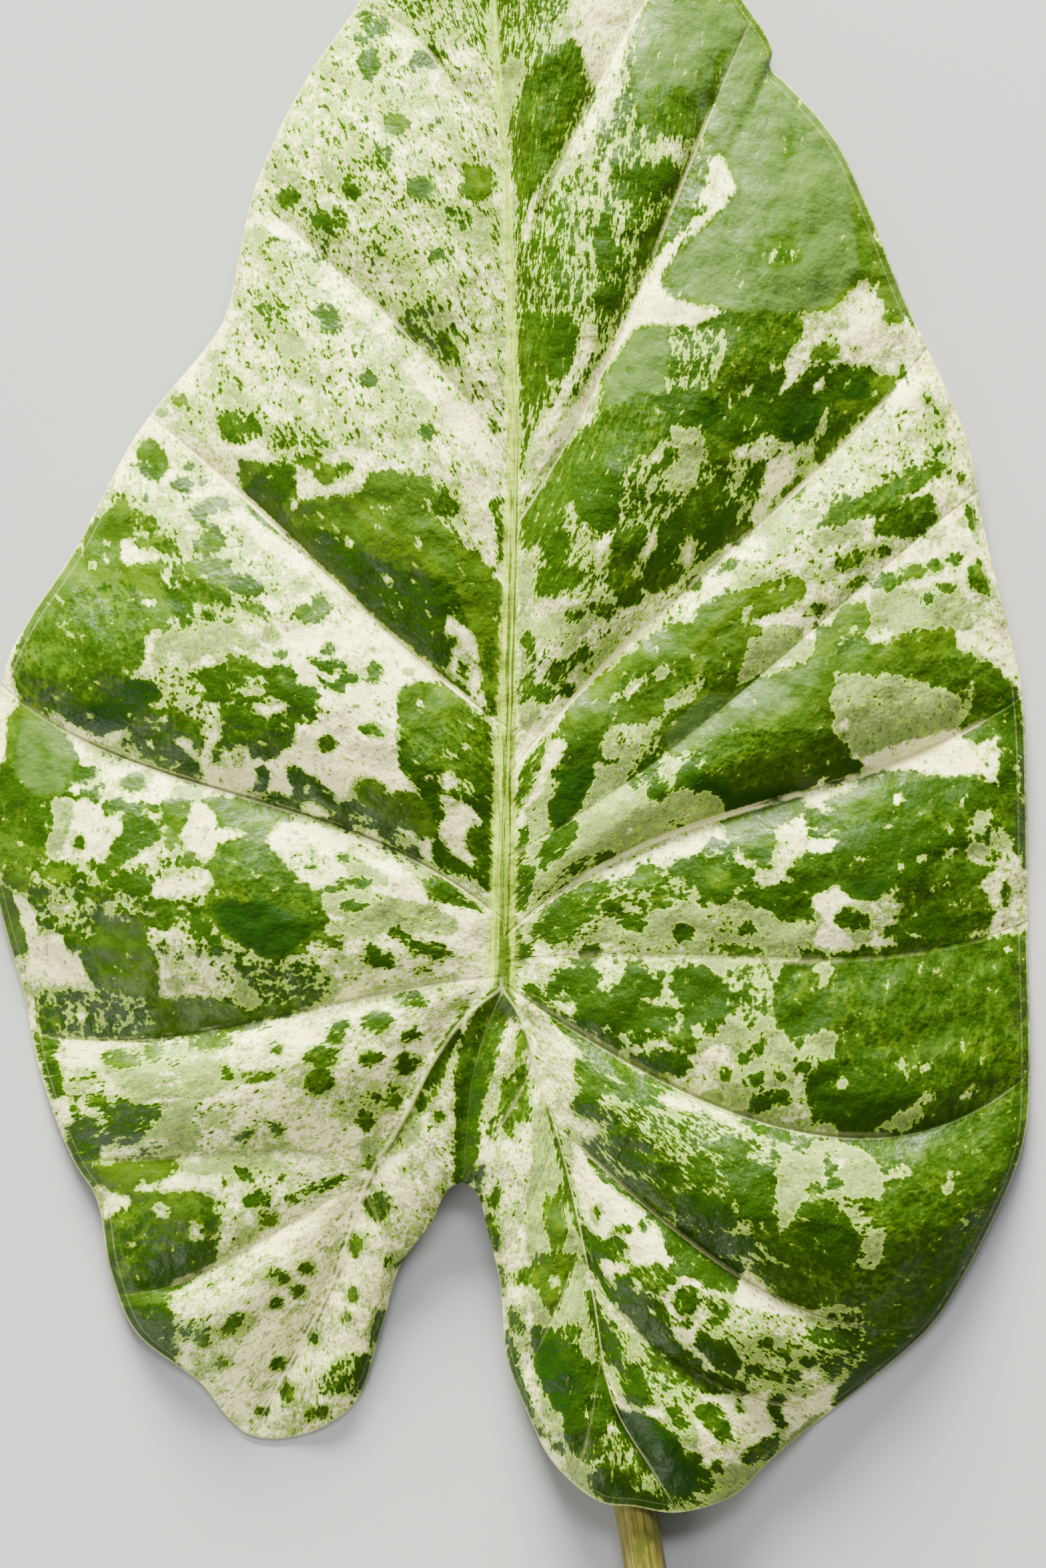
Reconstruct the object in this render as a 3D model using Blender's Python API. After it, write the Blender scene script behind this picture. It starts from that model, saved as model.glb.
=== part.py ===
# Picked alocasia leaf, lying face up. The heart-shaped blade has sunk side veins with quilted
# domes between them, raised ribs below and a turned-down rim. The round leaf stalk runs along
# the surface under it and comes out below the right lobe.
#
# Plan sizes are in millimetres from the point where the stalk meets the blade, X to the leaf's
# right and Y towards its tip. Heights are above the surface that the leaf lies on.

import bpy
import numpy as np
from mathutils import Vector
from mathutils.geometry import delaunay_2d_cdt

MM = 0.001

# Blade
BLADE_THICKNESS = 0.8
DOME_RATIO = 0.15          # height of a dome between two side veins, by their spacing
DOME_LIMIT = 8.5
SWELL = 7.0                # rise of the widest blade between midrib and edge
SWELL_WIDTH = 120.0        # half width of blade that has the full swell
ROOT_RUN = 16.0            # a dome grows to its height over this run from the midrib
DOME_REACH = 55.0          # rows shorter than this have lower domes
BULGE_AT = (-101, 75)      # the left edge swells here, above its longest side vein
BULGE_HEIGHT = 3.2
BULGE_RADIUS = 15.0
RIM_WIDTH = 5.0
RIM_DROP = 1.6
MIDRIB_CROWN = 1.3         # upper side of the midrib, above the furrows beside it
FURROW_DEPTH = 0.5
FURROW_WIDTH = 2.4
MIDRIB_HALF_WIDTH = 3.4
MIDRIB_DEPTH = 4.3         # rib below the blade, where the stalk meets it
COSTA_DEPTH = 2.4
VEIN_DEPTH = 1.3
VEIN_HALF_WIDTH = 2.6

# Leaf stalk
STALK_RADIUS_TOP = 4.5
STALK_RADIUS_CUT = 5.3
STALK_SIDES = 16
STALK_RINGS = 34
STALK_PRESS = 0.4          # the lying stalk is pressed flat by this much
STALK_PATH = [(0.6, -1.2), (4.2, -15), (11, -42), (22, -84), (31, -121), (37, -165), (41, -222)]
STALK_LIFT = [(0, 4.9), (15, 3.3), (38, 0.4), (60, 0), (300, 0)]   # by distance from the blade

# Mesh
EDGE_STEP = 6.5
VEIN_STEP = 7.0
SPINE_STEP = 8.0
ROW_STEP = 7.0
POINT_GAP = 4.8            # nearest that two points inside the blade come
SAME_POINT = 0.8           # points on the outline, ribs and veins are one within this distance
CURVE_SAMPLES = 24

# Outline from the tip down to the head of the notch between the lobes
TIP = (-7, 318)
NOTCH = (-9.3, -45.4)
LEFT_EDGE = [
    TIP, (-9.4, 304), (-13, 288), (-18.5, 268), (-25.6, 247), (-33.6, 229.4), (-44.2, 213.9),
    (-53, 197.6), (-58.6, 182.9), (-61.8, 167.4), (-64.6, 156), (-69, 149), (-84.3, 130.2),
    (-100.3, 100.8), (-110.2, 85.9), (-115.8, 74.4), (-119, 52), (-119.7, 31), (-116.6, 15.5),
    (-111.4, -3.1), (-108.2, -19), (-100.3, -40.3), (-94.6, -49.6), (-91.6, -66), (-85.6, -80.6),
    (-70.1, -93), (-63.5, -101.4), (-58.9, -104.8), (-51.5, -105.7), (-42.2, -103.1), (-34, -97),
    (-28.2, -80.6), (-23.6, -65.1), (-15.8, -54.3), NOTCH,
]
RIGHT_EDGE = [
    TIP, (-1.1, 306.5), (7.4, 296), (18.3, 282.1), (29.9, 267.8), (43, 250.5), (56.7, 229.4),
    (61.6, 222.2), (63.2, 218), (62.6, 214.4), (66.3, 210.8), (77.2, 198.4), (84.9, 182.9),
    (93, 162.8), (104.3, 138), (109, 126.3), (112.5, 107), (117.5, 86.8), (121.4, 69.8),
    (122.6, 43.4), (122.9, 9.3), (123.4, -18.6), (122.6, -32.6), (119, -45), (106.6, -69.8),
    (100.4, -79.1), (84.9, -93), (74.9, -100.8), (63.2, -110), (53.9, -118.6), (40.8, -122.3),
    (30.7, -120.9), (22.9, -119.8), (12.1, -110.8), (5.9, -99.2), (1.2, -86.8), (-0.3, -69.8),
    (-3.7, -55.8), NOTCH,
]
CREASE = [NOTCH, (-8.4, -32.6), (-6.8, -20.2), (-3.7, -9.3), (0, 0)]

# Midrib from the tip to the stalk, and the rib of each basal lobe on from there
MIDRIB = [TIP, (-3.6, 270), (-1.9, 229.4), (1.4, 183), (2.6, 152), (2.9, 121), (1.7, 74), (0.5, 28), (0, 0)]
LEFT_COSTA = [(0, 0), (-8.1, -6.4), (-15.8, -17.1), (-22, -29), (-31.3, -45), (-39.1, -68), (-52.2, -93),
              (-57, -102)]
RIGHT_COSTA = [(0, 0), (4.2, -6.4), (9.6, -23.3), (15, -41.9), (20.5, -67.4), (25.9, -96.1), (35.3, -112.4),
               (39.6, -119.6)]

# Side veins in order round each half, from the tip to the head of the crease between the lobes:
# root, the points a third and two thirds of the way along, end on the edge, how deep the vein
# is sunk (0 to 1), and the height of the edge where it ends
LEFT_VEINS = [
    ((-3, 239), (-8, 249), (-12.8, 257), (-19, 260), 0.4, 1.2),
    ((0.8, 191), (-9.5, 207), (-20.5, 221), (-33.6, 229.4), 0.5, 2.5),
    ((2.8, 121), (-17.6, 147), (-37.5, 166), (-58, 185), 0.9, 3.5),
    ((1.4, 60.5), (-27.4, 83.4), (-55, 109.6), (-82.2, 133), 1.0, 3.0),
    ((0.3, 16.3), (-39, 38), (-79.4, 50.4), (-116.9, 70), 1.0, 1.8),
    ((0, 2.3), (-37.8, -3.4), (-73.9, -10.9), (-109.8, -11), 0.8, -0.4),
    ((-29, -41), (-52, -37.8), (-76, -39.2), (-100, -41), 0.5, 3.0),
    ((-31.6, -46), (-50, -55.3), (-69.3, -66.2), (-90.2, -72), 0.8, 3.0),
    ((-38.8, -67), (-51, -74.7), (-64, -82.5), (-77, -88.2), 0.35, 2.2),
    ((-57, -102), (-57.6, -103), (-58.3, -104), (-58.9, -104.8), 0.6, -0.4),
    ((-39, -68), (-36.5, -76), (-34, -84), (-31.3, -91), 0.3, 2.6),
    ((-32, -47), (-29, -53.5), (-26.3, -60), (-23.8, -66), 0.3, 5.0),
    ((-23, -31), (-18.4, -36), (-14, -41), NOTCH, 0.5, 9.6),
]
RIGHT_VEINS = [
    ((-1.1, 220), (4.8, 241), (13, 259), (23.7, 275), 0.4, 1.0),
    ((2.5, 156.6), (13.3, 189.4), (27.5, 219), (44.5, 248), 0.6, 2.5),
    ((3.1, 105.4), (24.8, 145.7), (41.9, 186.8), (58.6, 226.8), 0.85, 4.5),
    ((2.5, 48.8), (33, 83.7), (66.3, 113.5), (99.5, 149), 1.0, 3.0),
    ((2.2, 29.5), (40, 55.8), (75.6, 86), (111.3, 115), 0.45, 2.4),
    ((1.6, 10.9), (38.9, 35.7), (79, 48), (121.6, 67.4), 1.0, 1.6),
    ((1, 6.2), (42.3, 7.4), (83.4, 7), (122.9, 15.5), 0.35, -0.4),
    ((0, 1.2), (40, -22.9), (82.6, -34.9), (123.3, -20.2), 0.8, 1.6),
    ((12.4, -31.8), (40, -55.8), (69.4, -74.7), (100.6, -79), 0.8, 2.6),
    ((20.5, -67.4), (36.1, -83.7), (54.7, -94.2), (76.6, -99.5), 0.6, -0.4),
    ((39.6, -119.6), (40, -120.6), (40.4, -121.5), (40.8, -122.3), 0.5, 11.6),
    ((22.8, -84.5), (21.5, -95.5), (19.4, -106), (16.2, -115), 0.3, 11.2),
    ((18.3, -57.4), (14.5, -70), (9, -82.5), (2.8, -92), 0.3, 5.0),
    ((12.7, -31), (9.5, -43.5), (4.2, -56), (-1.3, -65.5), 0.3, 6.4),
    ((7.4, -17), (2.6, -27), (-3.6, -37), NOTCH, 0.5, 9.6),
]

# Heights of the upper side along the midrib and lobe ribs, by distance from the stalk
MIDRIB_HEIGHT = [(0, 15.6), (60, 18.6), (120, 19.4), (180, 17), (230, 12.5), (280, 6), (319, 0.8)]
LEFT_COSTA_HEIGHT = [(0, 15.6), (25, 14.6), (50, 12), (80, 7), (117, 1.4)]
RIGHT_COSTA_HEIGHT = [(0, 15.6), (25, 16.2), (60, 16.4), (90, 15.2), (127, 12.4)]


def smooth(edge0, edge1, value):
    t = np.clip((value - edge0) / (edge1 - edge0), 0, 1)
    return t * t * (3 - 2 * t)


def profile(knots, distance):
    # a smooth curve through (distance, height) knots
    x, y = np.array(knots, float).T
    slope = np.gradient(y, x)
    i = np.clip(np.searchsorted(x, distance, side="right") - 1, 0, len(x) - 2)
    step = x[i + 1] - x[i]
    t = np.clip((distance - x[i]) / step, 0, 1)
    a = (1 + 2 * t) * (1 - t) ** 2 * y[i] + t * (1 - t) ** 2 * step * slope[i]
    b = t * t * (3 - 2 * t) * y[i + 1] + t * t * (t - 1) * step * slope[i + 1]
    return a + b


class Path:
    # a centripetal curve through points, read by the distance along it

    def __init__(self, points):
        p = np.array(points, float)
        p = np.vstack([2 * p[0] - p[1], p, 2 * p[-1] - p[-2]])
        knots = np.concatenate([[0], np.cumsum(np.sqrt(np.linalg.norm(np.diff(p, axis=0), axis=1)))])
        rows = [p[1]]
        for i in range(1, len(p) - 2):
            t = np.linspace(knots[i], knots[i + 1], CURVE_SAMPLES + 1)[1:, None]
            t0, t1, t2, t3 = knots[i - 1:i + 3]
            a1 = ((t1 - t) * p[i - 1] + (t - t0) * p[i]) / (t1 - t0)
            a2 = ((t2 - t) * p[i] + (t - t1) * p[i + 1]) / (t2 - t1)
            a3 = ((t3 - t) * p[i + 1] + (t - t2) * p[i + 2]) / (t3 - t2)
            b1 = ((t2 - t) * a1 + (t - t0) * a2) / (t2 - t0)
            b2 = ((t3 - t) * a2 + (t - t1) * a3) / (t3 - t1)
            rows.extend(((t2 - t) * b1 + (t - t1) * b2) / (t2 - t1))
        self.xy = np.array(rows)
        self.d = np.concatenate([[0], np.cumsum(np.linalg.norm(np.diff(self.xy, axis=0), axis=1))])
        self.length = self.d[-1]

    def at(self, distance):
        return np.stack([np.interp(distance, self.d, self.xy[:, k]) for k in (0, 1)], axis=-1)

    def nearest(self, point, low=0.0, high=1e9):
        far = np.linalg.norm(self.xy - np.array(point), axis=1)
        far[(self.d < low) | (self.d > high)] = 1e9
        return self.d[np.argmin(far)]


class Half:
    # one half of the blade. Row u runs from the spine (s = 0) to the edge (s = 1), and whole
    # values of u are the side veins. The spine is the midrib, then the lobe's rib out and back.

    def __init__(self, edge, costa, costa_height, veins):
        self.midrib = Path(MIDRIB)
        self.costa = Path(costa)
        self.costa_height = costa_height
        self.edge = Path(edge)
        self.crease = Path(CREASE)
        self.lobe_end = self.midrib.length + self.costa.length
        rows = [(0.0, 0.0, np.zeros(2), np.zeros(2), 0.3, BLADE_THICKNESS)]
        lobe_row = self.lobe_row(veins)
        for k, (root, third, two_thirds, end, sunk, height) in enumerate(veins):
            if root[1] > 0:
                p = self.midrib.nearest(root)
            else:
                p = self.midrib.length + self.costa.nearest(root)
            if k > lobe_row:
                p = 2 * self.lobe_end - p
            m = self.edge.nearest(end, low=rows[-1][1])
            start, stop = self.spine(p), self.rim(m)
            bow1 = np.array(third) - (2 * start + stop) / 3
            bow2 = np.array(two_thirds) - (start + 2 * stop) / 3
            rows.append((p, m, bow1, bow2, sunk, height))
        stalk = 2 * self.lobe_end - self.midrib.length
        rows.append((stalk, self.edge.length + self.crease.length, np.zeros(2), np.zeros(2), 0.3,
                     MIDRIB_HEIGHT[0][1]))
        self.p = np.array([r[0] for r in rows])
        self.m = np.array([r[1] for r in rows])
        self.bow = np.array([[r[2], r[3]] for r in rows])
        self.sunk = np.array([r[4] for r in rows])
        self.edge_height = np.array([r[5] for r in rows])
        self.last = len(rows) - 1

    def lobe_row(self, veins):
        # the row that runs straight out of the end of the lobe's rib
        return int(np.argmin([np.linalg.norm(np.array(vein[0]) - self.costa.xy[-1]) for vein in veins]))

    def costa_distance(self, p):
        out = p - self.midrib.length
        return np.where(out > self.costa.length, 2 * self.costa.length - out, out)

    def spine(self, p):
        p = np.asarray(p, float)
        on_midrib = (p <= self.midrib.length)[..., None]
        return np.where(on_midrib, self.midrib.at(p), self.costa.at(self.costa_distance(p)))

    def rim(self, m):
        m = np.asarray(m, float)
        on_edge = (m <= self.edge.length)[..., None]
        return np.where(on_edge, self.edge.at(m), self.crease.at(m - self.edge.length))

    def along(self, values, u):
        return np.interp(u, np.arange(self.last + 1), values)

    def row(self, u):
        return self.along(self.p, u), self.along(self.m, u)

    def length(self, u):
        p, m = self.row(u)
        return np.linalg.norm(self.rim(m) - self.spine(p), axis=-1)

    def plan(self, u, s):
        p, m = self.row(u)
        start, stop = self.spine(p), self.rim(m)
        bow = [np.stack([self.along(self.bow[:, j, k], u) for k in (0, 1)], axis=-1) for j in (0, 1)]
        s = np.asarray(s, float)[..., None]
        first = 13.5 * s * (s - 2 / 3) * (s - 1)
        second = -13.5 * s * (s - 1 / 3) * (s - 1)
        return start * (1 - s) + stop * s + bow[0] * first + bow[1] * second

    def spine_height(self, p):
        to_stalk = np.clip(self.midrib.length - p, 0, None)
        costa = profile(self.costa_height, self.costa_distance(np.maximum(p, self.midrib.length)))
        return np.where(p <= self.midrib.length, profile(MIDRIB_HEIGHT, to_stalk), costa)

    def openness(self, u):
        # 1 where the row ends on the free edge, 0 where it ends on the crease between the lobes
        return 1 - np.clip((self.along(self.m, u) - self.m[-3]) / (self.m[-2] - self.m[-3]), 0, 1)

    def dome_height(self, panel, s):
        width = (1 - s) * abs(self.p[panel + 1] - self.p[panel]) + s * (self.m[panel + 1] - self.m[panel])
        return DOME_LIMIT * np.tanh(DOME_RATIO * width / DOME_LIMIT)

    def domes(self, u, s):
        panel = np.clip(np.floor(u).astype(int), 0, self.last - 1)
        t = u - panel
        side = np.where(t < 0.5, panel, panel + 1)
        other = np.where(t < 0.5, panel - 1, panel + 1)
        beside = np.clip(other, 0, self.last - 1)
        here = self.dome_height(panel, s)
        at_vein = (here + self.dome_height(beside, s)) / 2
        near = np.where(t < 0.5, 1 - 2 * t, 2 * t - 1)
        height = at_vein * near + here * (1 - near)
        length = self.length(u)
        root = (1 - np.exp(-(s * length / ROOT_RUN) ** 1.5)) * smooth(0, DOME_REACH, length)
        free = 1 - 0.5 * smooth(0.72, 1, s)
        shut = 1 - smooth(0.6, 1, s)
        end = free * self.openness(u) + shut * (1 - self.openness(u))
        sunk = self.sunk[side] * (1 - 0.45 * smooth(0.78, 1, s))
        return height * (1 - sunk * near ** 2) * root * end

    def midrib_half_width(self, u):
        p = self.along(self.p, u)
        taper = np.where(p <= self.midrib.length, 0.25 + 0.75 * p / self.midrib.length,
                         0.85 - 0.6 * self.costa_distance(np.maximum(p, self.midrib.length))
                         / self.costa.length)
        return MIDRIB_HALF_WIDTH * taper

    def top(self, u, s):
        u, s = np.asarray(u, float), np.asarray(s, float)
        p, m = self.row(u)
        length = self.length(u)
        base = self.spine_height(p)
        edge = self.along(self.edge_height, u)
        z = base + (edge - base) * s ** 1.5
        z = z + SWELL * np.clip(length / SWELL_WIDTH, 0, 1) * 4 * s * (1 - s) * self.openness(u)
        z = z + self.domes(u, s)
        from_bulge = np.linalg.norm(self.plan(u, s) - np.array(BULGE_AT), axis=-1)
        z = z + BULGE_HEIGHT * np.exp(-(from_bulge / BULGE_RADIUS) ** 2)
        half_width = self.midrib_half_width(u)
        off = s * length
        crown = MIDRIB_CROWN * (1 - smooth(0, 1, off / half_width))
        furrow = FURROW_DEPTH * np.exp(-((off - half_width) / FURROW_WIDTH) ** 2) * smooth(4, 16, length)
        z = z + (crown - furrow) * half_width / MIDRIB_HALF_WIDTH
        to_edge = (1 - s) * length
        z = z - RIM_DROP * np.clip(1 - to_edge / RIM_WIDTH, 0, 1) ** 2 * self.openness(u)
        return z

    def rib(self, u, s):
        # how far the ribs stand out below the blade
        p = self.along(self.p, u)
        length = self.length(u)
        on_midrib = p <= self.midrib.length
        out = np.where(on_midrib, self.midrib.length - p, self.costa_distance(np.maximum(p, self.midrib.length)))
        depth = np.where(on_midrib,
                         smooth(0.4, 1.6, out) * (0.5 + (MIDRIB_DEPTH - 0.5) * (1 - out / self.midrib.length)),
                         smooth(9, 24, out) * COSTA_DEPTH * (1 - 0.8 * out / self.costa.length))
        across = np.clip(s * length / (1.3 * self.midrib_half_width(u)), 0, 1)
        spine = depth * np.sqrt(1 - across ** 2)
        near_vein = np.abs(u - np.round(u))
        vein_row = np.clip(np.round(u).astype(int), 0, self.last)
        panel = np.clip(np.floor(u).astype(int), 0, self.last - 1)
        width = (1 - s) * abs(self.p[panel + 1] - self.p[panel]) + s * (self.m[panel + 1] - self.m[panel])
        beside = np.clip(near_vein * width / VEIN_HALF_WIDTH, 0, 1)
        inner = (vein_row > 0) & (vein_row < self.last)
        vein = VEIN_DEPTH * self.sunk[vein_row] * inner * (1 - beside ** 2) * smooth(0, 0.05, s) * (1 - s)
        return np.maximum(spine, vein * self.openness(u))


def blade_heights(half, u, s, slope=0.0):
    # heights of both sides, with the blade thicker up and down where it is steep, and pressed
    # flat where it would reach below the surface
    thick = BLADE_THICKNESS * np.sqrt(1 + slope ** 2)
    upper = half.top(u, s)
    lower = upper - thick - half.rib(u, s)
    lower = np.maximum(lower, 0)
    upper = np.maximum(upper, lower + thick)
    return upper, lower


class Plan:
    # the blade's points in plan, each with its heights, and the lines that the triangles keep

    def __init__(self):
        self.points = []
        self.heights = []
        self.lines = []
        self.cells = {}

    def slope(self, half, u, s):
        step = 0.02
        u0, u1 = np.clip(u - step, 0, half.last), np.clip(u + step, 0, half.last)
        s0, s1 = max(s - step, 0), min(s + step, 1)
        steep = 0.0
        for ends in (((u, s0), (u, s1)), ((u0, s), (u1, s))):
            (a, b), (c, d) = ends
            run = np.linalg.norm(half.plan(a, b) - half.plan(c, d))
            if run > 0.3:
                steep = max(steep, abs(half.top(a, b) - half.top(c, d)) / run)
        return min(steep, 1.5)

    def find(self, xy, reach):
        cell = (int(xy[0] // POINT_GAP), int(xy[1] // POINT_GAP))
        for i in (-1, 0, 1):
            for j in (-1, 0, 1):
                for k in self.cells.get((cell[0] + i, cell[1] + j), []):
                    if np.linalg.norm(self.points[k] - xy) < reach:
                        return k
        return None

    def add(self, half, u, s, reach, must=True):
        xy = half.plan(u, s)
        found = self.find(xy, reach)
        if found is not None:
            return found if must else None
        self.points.append(xy)
        self.heights.append(blade_heights(half, u, s, self.slope(half, u, s)))
        self.cells.setdefault((int(xy[0] // POINT_GAP), int(xy[1] // POINT_GAP)), []).append(len(self.points) - 1)
        return len(self.points) - 1

    def add_line(self, half, ends, count):
        (u0, s0), (u1, s1) = ends
        steps = np.linspace(0, 1, count + 1)
        keys = [self.add(half, u0 + (u1 - u0) * t, s0 + (s1 - s0) * t, SAME_POINT) for t in steps]
        self.lines.extend((a, b) for a, b in zip(keys, keys[1:]) if a != b)


def spine_stops(distances, low, high):
    # the given distances between low and high, with even steps between them
    inside = sorted(d for d in distances if low + SAME_POINT < d < high - SAME_POINT)
    stops = [low]
    for d in inside + [high]:
        if d - stops[-1] > SAME_POINT:
            count = max(1, round((d - stops[-1]) / SPINE_STEP))
            stops.extend(np.linspace(stops[-1], d, count + 1)[1:])
    return stops


def add_spine(plan, half, distances, low, high):
    lobe = int(np.argmin(np.abs(half.p - half.lobe_end)))
    rows = np.interp(spine_stops(distances, low, high), half.p[:lobe + 1], np.arange(lobe + 1))
    keys = [plan.add(half, float(u), 0.0, SAME_POINT) for u in rows]
    plan.lines.extend((a, b) for a, b in zip(keys, keys[1:]) if a != b)


def lay_out(halves):
    plan = Plan()
    for half in halves:
        for k in range(half.last):
            count = max(1, round((half.m[k + 1] - half.m[k]) / EDGE_STEP))
            plan.add_line(half, ((k, 1.0), (k + 1, 1.0)), count)
    stalk = halves[0].midrib.length
    add_spine(plan, halves[0], np.concatenate([half.p for half in halves]), 0.0, stalk)
    for half in halves:
        folded = half.midrib.length + half.costa_distance(half.p[half.p > half.midrib.length])
        add_spine(plan, half, folded, stalk, half.lobe_end)
    for half in halves:
        for k in range(1, half.last):
            count = max(1, round(float(half.length(k)) / VEIN_STEP))
            plan.add_line(half, ((k, 0.0), (k, 1.0)), count)
    for half in halves:
        fill_panels(plan, half)
    return plan


def fill_panels(plan, half):
    # points inside the blade: beside the veins first, level with the veins' own points
    for k in range(half.last):
        for t, vein in ((0.07, k), (0.93, k + 1)):
            if 0 < vein < half.last:
                count = max(1, round(float(half.length(vein)) / VEIN_STEP))
                for s in np.linspace(0, 1, count + 1)[1:-1]:
                    plan.add(half, k + t, s, 0.42 * POINT_GAP, must=False)
    for k in range(half.last):
        width = max(half.m[k + 1] - half.m[k], abs(half.p[k + 1] - half.p[k]))
        rows = int(np.clip(round(width / ROW_STEP), 2, 11))
        for t in np.linspace(0, 1, rows + 1)[1:-1]:
            length = float(half.length(k + t))
            count = max(2, round(length / VEIN_STEP))
            beside_rib = 1.05 * float(half.midrib_half_width(k + t)) / max(length, 1)
            beside_rim = 1 - 3.4 / max(length, 1)
            if length > 3 * RIM_WIDTH:
                plan.add(half, k + t, beside_rim, 0.5 * POINT_GAP, must=False)
                plan.add(half, k + t, beside_rib, 0.5 * POINT_GAP, must=False)
            for s in np.linspace(0, 1, count + 1)[1:-1]:
                plan.add(half, k + t, s, POINT_GAP, must=False)


def triangles(plan):
    # Delaunay triangles that keep the outline, the ribs and the side veins as edges
    verts = [Vector(p) for p in plan.points]
    out, _, faces, source, _, _ = delaunay_2d_cdt(verts, plan.lines, [], 1, 1e-4)
    heights = np.array([plan.heights[s[0]] for s in source])
    return np.array([(v.x, v.y) for v in out]), heights, [tuple(f) for f in faces]


def blade_mesh():
    halves = [Half(LEFT_EDGE, LEFT_COSTA, LEFT_COSTA_HEIGHT, LEFT_VEINS),
              Half(RIGHT_EDGE, RIGHT_COSTA, RIGHT_COSTA_HEIGHT, RIGHT_VEINS)]
    plan = lay_out(halves)
    xy, heights, faces = triangles(plan)
    count = len(xy)
    verts = [(x, y, z) for (x, y), (z, _) in zip(xy, heights)]
    verts += [(x, y, z) for (x, y), (_, z) in zip(xy, heights)]
    used = {}
    for face in faces:
        for a, b in zip(face, face[1:] + face[:1]):
            used[(a, b)] = used.get((a, b), 0) + 1
    rim = [(a, b) for a, b in used if (b, a) not in used]
    solid = list(faces) + [tuple(count + i for i in reversed(f)) for f in faces]
    for a, b in rim:
        solid += [(b, a, count + a), (b, count + a, count + b)]
    return np.array(verts), solid


def stalk_mesh():
    path = Path(STALK_PATH)
    far = path.length * np.linspace(0, 1, STALK_RINGS + 1)
    centre = path.at(far)
    ahead = path.at(np.clip(far + 1, 0, path.length)) - path.at(np.clip(far - 1, 0, path.length))
    ahead /= np.linalg.norm(ahead, axis=1)[:, None]
    radius = STALK_RADIUS_TOP + (STALK_RADIUS_CUT - STALK_RADIUS_TOP) * far / path.length
    lift = profile(STALK_LIFT, far)
    turn = 2 * np.pi * (np.arange(STALK_SIDES) + 0.5) / STALK_SIDES
    verts = []
    for xy, run, r, up in zip(centre, ahead, radius, lift):
        across = np.array([run[1], -run[0]])
        for angle in turn:
            side = xy + across * r * np.cos(angle)
            height = up + r - STALK_PRESS + r * np.sin(angle)
            verts.append((side[0], side[1], max(height, 0.0)))
    faces = []
    n = STALK_SIDES
    for ring in range(STALK_RINGS):
        for k in range(n):
            a, b = ring * n + k, ring * n + (k + 1) % n
            faces.append((a, a + n, b + n, b))
    faces.append(tuple(range(n)))
    faces.append(tuple(reversed(range(STALK_RINGS * n, (STALK_RINGS + 1) * n))))
    return np.array(verts), faces


def make_material(name, colour, roughness):
    material = bpy.data.materials.new(name)
    material.use_nodes = True
    shader = material.node_tree.nodes["Principled BSDF"]
    shader.inputs["Base Color"].default_value = (*colour, 1)
    shader.inputs["Roughness"].default_value = roughness
    shader.inputs["Metallic"].default_value = 0
    return material


def make_object(name, verts, faces, material, parent):
    mesh = bpy.data.meshes.new(name)
    mesh.from_pydata([tuple(v) for v in verts * MM], [], faces)
    mesh.materials.append(material)
    mesh.shade_smooth()
    mesh.set_sharp_from_angle(angle=np.radians(60))
    thing = bpy.data.objects.new(name, mesh)
    thing.parent = parent
    bpy.context.collection.objects.link(thing)
    return thing


def clear_scene():
    for thing in list(bpy.data.objects):
        bpy.data.objects.remove(thing)


def build():
    clear_scene()
    blade_verts, blade_faces = blade_mesh()
    stalk_verts, stalk_faces = stalk_mesh()
    every = np.vstack([blade_verts, stalk_verts])
    middle = (every.max(axis=0) + every.min(axis=0)) / 2
    leaf = bpy.data.objects.new("leaf", None)
    leaf.location = (-middle[0] * MM, -middle[1] * MM, 0)
    bpy.context.collection.objects.link(leaf)
    green = make_material("blade_green", (0.30, 0.40, 0.14), 0.42)
    tan = make_material("stalk_tan", (0.40, 0.36, 0.20), 0.45)
    make_object("blade", blade_verts, blade_faces, green, leaf)
    make_object("leaf_stalk", stalk_verts, stalk_faces, tan, leaf)
    print("blade triangles", len(blade_faces))
    print("stalk meets the blade at", leaf.location[:])


build()
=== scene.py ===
# A picked, marbled alocasia leaf, lying face up on a pale floor, seen from above
import bpy
import numpy as np
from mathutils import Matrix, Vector
from mathutils.geometry import delaunay_2d_cdt


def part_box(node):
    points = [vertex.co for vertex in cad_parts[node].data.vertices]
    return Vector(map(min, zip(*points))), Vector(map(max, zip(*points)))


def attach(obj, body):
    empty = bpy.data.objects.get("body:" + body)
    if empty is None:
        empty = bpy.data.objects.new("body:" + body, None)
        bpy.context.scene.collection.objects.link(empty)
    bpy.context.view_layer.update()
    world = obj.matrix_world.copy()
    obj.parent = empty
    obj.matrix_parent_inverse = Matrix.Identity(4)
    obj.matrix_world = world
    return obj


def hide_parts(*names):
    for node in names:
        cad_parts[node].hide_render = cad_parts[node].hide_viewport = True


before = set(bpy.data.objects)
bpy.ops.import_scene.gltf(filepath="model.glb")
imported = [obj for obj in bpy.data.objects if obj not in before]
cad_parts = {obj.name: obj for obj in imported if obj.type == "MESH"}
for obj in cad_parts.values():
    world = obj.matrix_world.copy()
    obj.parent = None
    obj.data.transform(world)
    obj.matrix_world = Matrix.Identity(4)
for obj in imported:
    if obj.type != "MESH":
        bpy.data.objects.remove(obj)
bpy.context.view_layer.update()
mm = 0.001
print("frame loaded")


# curves in plan, in mm from the point where the stalk meets the blade

def smooth(low, high, value):
    t = np.clip((value - low) / (high - low), 0, 1)
    return t * t * (3 - 2 * t)


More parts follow.
